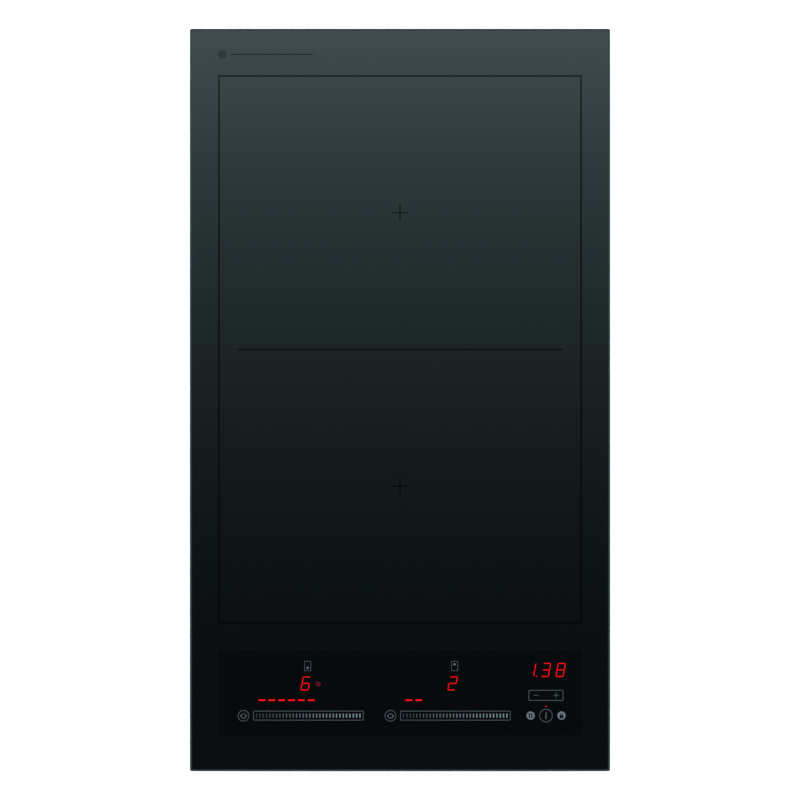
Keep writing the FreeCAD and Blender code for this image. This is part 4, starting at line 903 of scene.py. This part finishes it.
# %% Soft strips
def soft_strip(bm, start, end, across, low, high, breathe, step=6.0):
    """A closed strip between two places, with soft edges and a slow change of width."""
    start = Vector(start)
    end = Vector(end)
    run = end - start
    side = Vector((-run.y, run.x)).normalized()
    count = max(int(run.length / step), 4)
    rings = []
    for k in range(count + 1):
        share = k / count
        centre = start + run * share
        sway = breathe * math.sin(7.3 * share * run.length / 97 + start.x * 0.11 + start.y * 0.07)
        half = across / 2 - breathe + sway
        section = rounded_outline(0, (low + high) / 2, 2 * half, high - low, (high - low) * 0.3, 3)
        ring = []
        for offset, z in section:
            place = centre + side * offset
            ring.append(bm.verts.new((place.x * MM, place.y * MM, z * MM)))
        rings.append(ring)
    for a, b in zip(rings, rings[1:]):
        for i in range(len(a)):
            j = (i + 1) % len(a)
            bm.faces.new((a[i], a[j], b[j], b[i]))
    bm.faces.new(rings[0])
    bm.faces.new(rings[-1])


def strip_frame(name, node, across, breathe, material):
    """Four strips laid as the solid's frame: two long ones with two short ones between them."""
    low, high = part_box(node)
    x = high.x / MM - across / 2
    y = high.y / MM
    z0 = low.z / MM
    z1 = high.z / MM
    bm = bmesh.new()
    for s in (-1, 1):
        soft_strip(bm, (s * x, -y), (s * x, y), across, z0, z1, breathe)
        soft_strip(bm, (-x + across / 2, s * (y - across / 2)), (x - across / 2, s * (y - across / 2)),
                   across, z0, z1, breathe)
    piece = link_piece(name, bm, [material])
    for face in piece.data.polygons:
        face.use_smooth = True
    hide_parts(node)
    print(f"{name}: {len(piece.data.polygons)} faces")
    return piece


strip_frame("foam_tape", "worktop_seal", 9.0, 0.12, foam)
strip_frame("silicone_beads", "adhesive_beads", 8.0, 0.45, silicone)

# %% [markdown]
# ## Sheet steel
#
# The chassis is folded from hot-dip galvanised sheet. Zinc freezes into crystals a few
# millimetres across, the spangle, and each crystal mirrors the room at its own angle. A
# Voronoi pattern gives every crystal one random value; that value moves the roughness and
# the grey, and a stretched noise adds the long rolling marks of the mill.

# %% Galvanised sheet
def galvanised(name, low, high):
    """Zinc spangle over rolled steel."""
    material, tree, shader = empty_material(name)
    crystal = texture_value(tree, "voronoi", 190.0)
    rolling = texture_value(tree, "noise", 420.0, (1, 0.03, 1), 5.0)
    tree.links.new(ramp_between(tree, crystal, low, high), shader.inputs["Base Color"])
    blend = add_node(tree, "ShaderNodeMath", operation="MULTIPLY_ADD")
    blend.inputs[1].default_value = 0.35
    tree.links.new(rolling, blend.inputs[0])
    tree.links.new(value_between(tree, crystal, 0.22, 0.40), blend.inputs[2])
    tree.links.new(blend.outputs["Value"], shader.inputs["Roughness"])
    shader.inputs["Metallic"].default_value = 1.0
    relief = add_node(tree, "ShaderNodeBump")
    relief.inputs["Strength"].default_value = 0.12
    relief.inputs["Distance"].default_value = 0.1 * MM
    tree.links.new(rolling, relief.inputs["Height"])
    tree.links.new(relief.outputs["Normal"], shader.inputs["Normal"])
    return material


spangle = galvanised("galvanised_sheet", (0.24, 0.25, 0.27), (0.47, 0.49, 0.51))
print("sheet:", spangle.name)

# %% [markdown]
# ## Blind rivets
#
# The end plates are held to the base by blind rivets. A blind rivet is pulled tight by a
# pin that snaps off inside its head, so a real head is a low dome with a hole and the torn
# pin in it. The solids have plain heads. Each rivet is turned here from one profile, with
# its place, direction and length read from the solid that it stands for.

# %% Separate solids of one node
def solid_boxes(node):
    """The lowest and highest corner of each separate solid in a node."""
    bm = bmesh.new()
    bm.from_mesh(nodes[node].data)
    bmesh.ops.remove_doubles(bm, verts=bm.verts, dist=0.001 * MM)
    left = set(bm.verts)
    boxes = []
    while left:
        front = [left.pop()]
        found = []
        while front:
            vert = front.pop()
            found.append(vert.co.copy())
            for edge in vert.link_edges:
                other = edge.other_vert(vert)
                if other in left:
                    left.remove(other)
                    front.append(other)
        low = Vector([min(co[i] for co in found) for i in range(3)])
        high = Vector([max(co[i] for co in found) for i in range(3)])
        boxes.append((low, high))
    bm.free()
    return sorted(boxes, key=lambda b: tuple(round(v, 5) for v in b[0]))


print("rivets:", len(solid_boxes("pan_rivets")))


# %% Turned rivets
def turned(bm, profile, base, axis, steps=36):
    """A closed turned solid: profile holds (radius, height) in mm from the base along the axis."""
    turn = Vector((0, 0, 1)).rotation_difference(axis)
    rings = []
    for radius, height in profile:
        if radius == 0:
            rings.append([bm.verts.new(base + turn @ Vector((0, 0, height * MM)))])
            continue
        angles = [2 * math.pi * k / steps for k in range(steps)]
        rings.append([bm.verts.new(base + turn @ Vector((radius * MM * math.cos(a), radius * MM * math.sin(a),
                                                         height * MM))) for a in angles])
    for a, b in zip(rings, rings[1:]):
        for i in range(steps):
            j = (i + 1) % steps
            corners = [a[i % len(a)], a[j % len(a)], b[j % len(b)], b[i % len(b)]]
            bm.faces.new([v for k, v in enumerate(corners) if v not in corners[:k]])


rivet_metal = finish_of("rivet_aluminium", (0.42, 0.42, 0.43), (0.54, 0.54, 0.55), (0.30, 0.46), 500.0,
                        metal=1.0, bump=0.08, bump_scale=1600.0)
RIVET_HEAD_R = 3.19
RIVET_HEAD_H = 1.0
RIVET_SHANK_R = 1.6
RIVET_BULB_R = 2.35
PIN_R = 0.85
PIN_HOLE_R = 1.15


def rivet_profile(length, bulb):
    """Half the section of a set blind rivet, from the blind end to the head."""
    neck = length - RIVET_HEAD_H
    blind_end = [(0, 0), (1.3, 0), (RIVET_SHANK_R, 0.1)]
    if bulb:
        blind_end = [(0, 0), (1.6, 0), (RIVET_BULB_R, 0.35), (RIVET_BULB_R, 0.8), (RIVET_SHANK_R, 1.0)]
    dome = [(RIVET_HEAD_R - 0.15, neck), (RIVET_HEAD_R, neck + 0.12), (RIVET_HEAD_R, neck + 0.22),
            (2.95, neck + 0.5), (2.5, neck + 0.78), (1.9, neck + 0.95), (1.45, neck + 1.0),
            (PIN_HOLE_R + 0.08, neck + 0.96), (PIN_HOLE_R, neck + 0.85)]
    pin = [(PIN_HOLE_R, neck + 0.3), (PIN_R, neck + 0.3), (PIN_R, neck + 0.55), (PIN_R - 0.2, neck + 0.68),
           (0, neck + 0.6)]
    return blind_end + [(RIVET_SHANK_R, neck)] + dome + pin


def blind_rivets():
    """All the rivets of the chassis, heads outside on the walls and inside on the floor."""
    bm = bmesh.new()
    for low, high in solid_boxes("pan_rivets"):
        size = high - low
        middle = (low + high) / 2
        if size.x < size.y:
            axis = Vector((math.copysign(1, middle.x), 0, 0))
            turned(bm, rivet_profile(size.x / MM, True), middle - axis * size.x / 2, axis)
        else:
            foot = Vector((middle.x, middle.y, low.z))
            turned(bm, rivet_profile(size.z / MM, False), foot, Vector((0, 0, 1)))
    piece = link_piece("blind_rivets", bm, [rivet_metal])
    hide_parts("pan_rivets")
    return piece


rivets = blind_rivets()
print("rivet faces:", len(rivets.data.polygons))

# %% [markdown]
# ## Sensor springs
#
# Each coil has a temperature sensor in its middle, pushed up against the glass by a small
# compression spring. Its foot stays in a cup of the coil carrier while its top follows the
# sensor. It is wound here as a round wire, pitched less at both ends.

# %% Wound springs
spring_steel = finish_of("spring_steel", (0.42, 0.42, 0.43), (0.55, 0.55, 0.56), (0.22, 0.36), 600.0,
                         stretch=(1, 0.1, 1), metal=1.0, bump=0.05, bump_scale=1800.0)
SPRING_WIRE_R = 0.5
SPRING_TURNS = 3
SPRING_STEPS = 28
WIRE_SIDES = 12


def wound_spring(name, node):
    """A helix of round wire between the solid's foot and top, pitched less at both ends."""
    low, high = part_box(node)
    radius = (high.x - low.x) / MM / 2 - SPRING_WIRE_R
    foot = low.z / MM + SPRING_WIRE_R
    rise = (high.z - low.z) / MM - 2 * SPRING_WIRE_R
    middle_x = (low.x + high.x) / 2 / MM
    middle_y = (low.y + high.y) / 2 / MM
    count = SPRING_TURNS * SPRING_STEPS
    path = []
    for k in range(count + 1):
        share = k / count
        eased = share - math.sin(2 * math.pi * share) / (2 * math.pi) * 0.5
        a = 2 * math.pi * SPRING_TURNS * share
        path.append(Vector((middle_x + radius * math.cos(a), middle_y + radius * math.sin(a),
                            foot + rise * eased)))
    bm = bmesh.new()
    rings = []
    for i, here in enumerate(path):
        along = (path[min(i + 1, count)] - path[max(i - 1, 0)]).normalized()
        out = Vector((here.x - middle_x, here.y - middle_y, 0)).normalized()
        up = out.cross(along).normalized()
        ring = []
        for k in range(WIRE_SIDES):
            a = 2 * math.pi * k / WIRE_SIDES
            ring.append(bm.verts.new((here + (out * math.cos(a) + up * math.sin(a)) * SPRING_WIRE_R) * MM))
        rings.append(ring)
    for a, b in zip(rings, rings[1:]):
        for i in range(WIRE_SIDES):
            j = (i + 1) % WIRE_SIDES
            bm.faces.new((a[i], a[j], b[j], b[i]))
    bm.faces.new(rings[0])
    bm.faces.new(rings[-1])
    piece = link_piece(name, bm, [spring_steel])
    for face in piece.data.polygons:
        face.use_smooth = True
    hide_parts(node)
    height = (high.z - low.z) / MM
    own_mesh(piece)
    return height


for end in ("rear", "front"):
    height = wound_spring(end + "_wound_spring", end + "_sensor_spring")
    print(end, "spring height, mm:", round(height, 2))

# %% [markdown]
# ## Finishes for the other parts
#
# Each finish is named for its stuff. Metals differ mostly in tint and in the direction of
# their marks; mouldings differ in how coarse the tool's texture is; the electronics are
# made of resin, solder resist and ferrite. The record says which part has which finish, so
# three tables from its slot names to these materials dress every part.

# %% Metals
metals = {
    "galvanised_steel": spangle,
    "zinc_fastener": finish_of(
        "zinc_plate", (0.46, 0.46, 0.44), (0.62, 0.61, 0.56), (0.20, 0.38), 380.0,
        metal=1.0, bump=0.05, bump_scale=1500.0),
    "rivet_metal": rivet_metal,
    "spring_steel": spring_steel,
    "screen_aluminium": finish_of(
        "rolled_aluminium", (0.62, 0.63, 0.64), (0.78, 0.79, 0.80), (0.18, 0.42), 260.0,
        stretch=(1, 0.02, 1), metal=1.0, bump=0.06, bump_scale=600.0),
    "sink_aluminium": finish_of(
        "extruded_aluminium", (0.58, 0.59, 0.60), (0.70, 0.71, 0.72), (0.25, 0.45), 500.0,
        stretch=(1, 0.02, 1), metal=1.0, bump=0.08, bump_scale=800.0),
    "terminal_brass": finish_of(
        "machined_brass", (0.52, 0.36, 0.13), (0.66, 0.48, 0.20), (0.18, 0.34), 700.0,
        stretch=(1, 1, 0.1), metal=1.0, bump=0.05, bump_scale=1500.0),
    "stator_steel": finish_of(
        "stacked_laminations", (0.10, 0.10, 0.11), (0.22, 0.22, 0.23), (0.35, 0.55), 2500.0,
        stretch=(0.02, 0.02, 1), metal=1.0, bump=0.3, bump_scale=3000.0),
    "bearing_bronze": finish_of(
        "sintered_bronze", (0.30, 0.18, 0.07), (0.45, 0.29, 0.13), (0.40, 0.60), 1800.0,
        kind="voronoi", metal=1.0, bump=0.2, bump_scale=2500.0),
    "litz_copper": finish_of(
        "enamelled_copper", (0.36, 0.13, 0.045), (0.62, 0.27, 0.11), (0.22, 0.40), 900.0,
        kind="wave", metal=0.9, bump=0.3, bump_scale=1500.0, coat=0.3),
}
print("metals:", len(metals))

# %% Mouldings, sheets and soft parts
mouldings = {
    "black_plastic": finish_of(
        "black_moulding", (0.012, 0.012, 0.013), (0.022, 0.022, 0.024), (0.42, 0.60), 900.0,
        bump=0.18, bump_scale=2200.0),
    "grey_plastic": finish_of(
        "grey_moulding", (0.30, 0.31, 0.32), (0.36, 0.37, 0.38), (0.45, 0.60), 700.0,
        bump=0.12, bump_scale=2000.0),
    "cream_plastic": finish_of(
        "cream_moulding", (0.60, 0.56, 0.46), (0.70, 0.66, 0.56), (0.40, 0.55), 500.0,
        bump=0.10, bump_scale=1800.0),
    "sensor_cap": finish_of(
        "white_ceramic", (0.70, 0.70, 0.67), (0.80, 0.80, 0.78), (0.25, 0.35), 700.0,
        bump=0.05, bump_scale=1800.0),
    "mica": finish_of(
        "mica_sheet", (0.20, 0.15, 0.085), (0.34, 0.27, 0.17), (0.25, 0.55), 900.0,
        bump=0.15, bump_scale=1500.0),
    "wire_jacket": finish_of(
        "wire_jacket", (0.16, 0.16, 0.17), (0.24, 0.24, 0.25), (0.35, 0.50), 300.0,
        bump=0.06, bump_scale=900.0),
    "foam_seal": foam,
    "silicone": silicone,
    "glass_ceramic": black_glass,
}
print("mouldings:", len(mouldings))

# %% Electronics
electronics = {
    "circuit_board": finish_of(
        "solder_resist", (0.006, 0.060, 0.024), (0.012, 0.110, 0.045), (0.15, 0.28), 320.0,
        kind="voronoi", bump=0.12, bump_scale=900.0, coat=0.4),
    "ferrite": finish_of(
        "sintered_ferrite", (0.022, 0.022, 0.024), (0.050, 0.050, 0.054), (0.45, 0.75), 1200.0,
        kind="voronoi", bump=0.25, bump_scale=1500.0),
    "film_box": finish_of(
        "cast_resin", (0.40, 0.060, 0.025), (0.52, 0.090, 0.040), (0.22, 0.34), 250.0,
        bump=0.05, bump_scale=900.0),
    "capacitor_sleeve": finish_of(
        "shrink_sleeve", (0.012, 0.016, 0.040), (0.022, 0.028, 0.060), (0.18, 0.30), 180.0,
        bump=0.06, bump_scale=500.0),
    "chip_resin": finish_of(
        "moulded_package", (0.012, 0.012, 0.013), (0.024, 0.024, 0.025), (0.40, 0.60), 1500.0,
        bump=0.15, bump_scale=2500.0),
    "relay_case": finish_of(
        "relay_case", (0.012, 0.050, 0.22), (0.020, 0.075, 0.30), (0.28, 0.40), 400.0,
        bump=0.05, bump_scale=1500.0),
}
print("electronics:", len(electronics))

# %% Dress every part
finishes = metals | mouldings | electronics
for entry in record["subparts"]:
    part = nodes[entry["node"]]
    for material_slot in part.material_slots:
        material_slot.material = finishes[entry["material_slot"]]
print("finishes:", len(finishes), "dressed parts:", len(record["subparts"]))
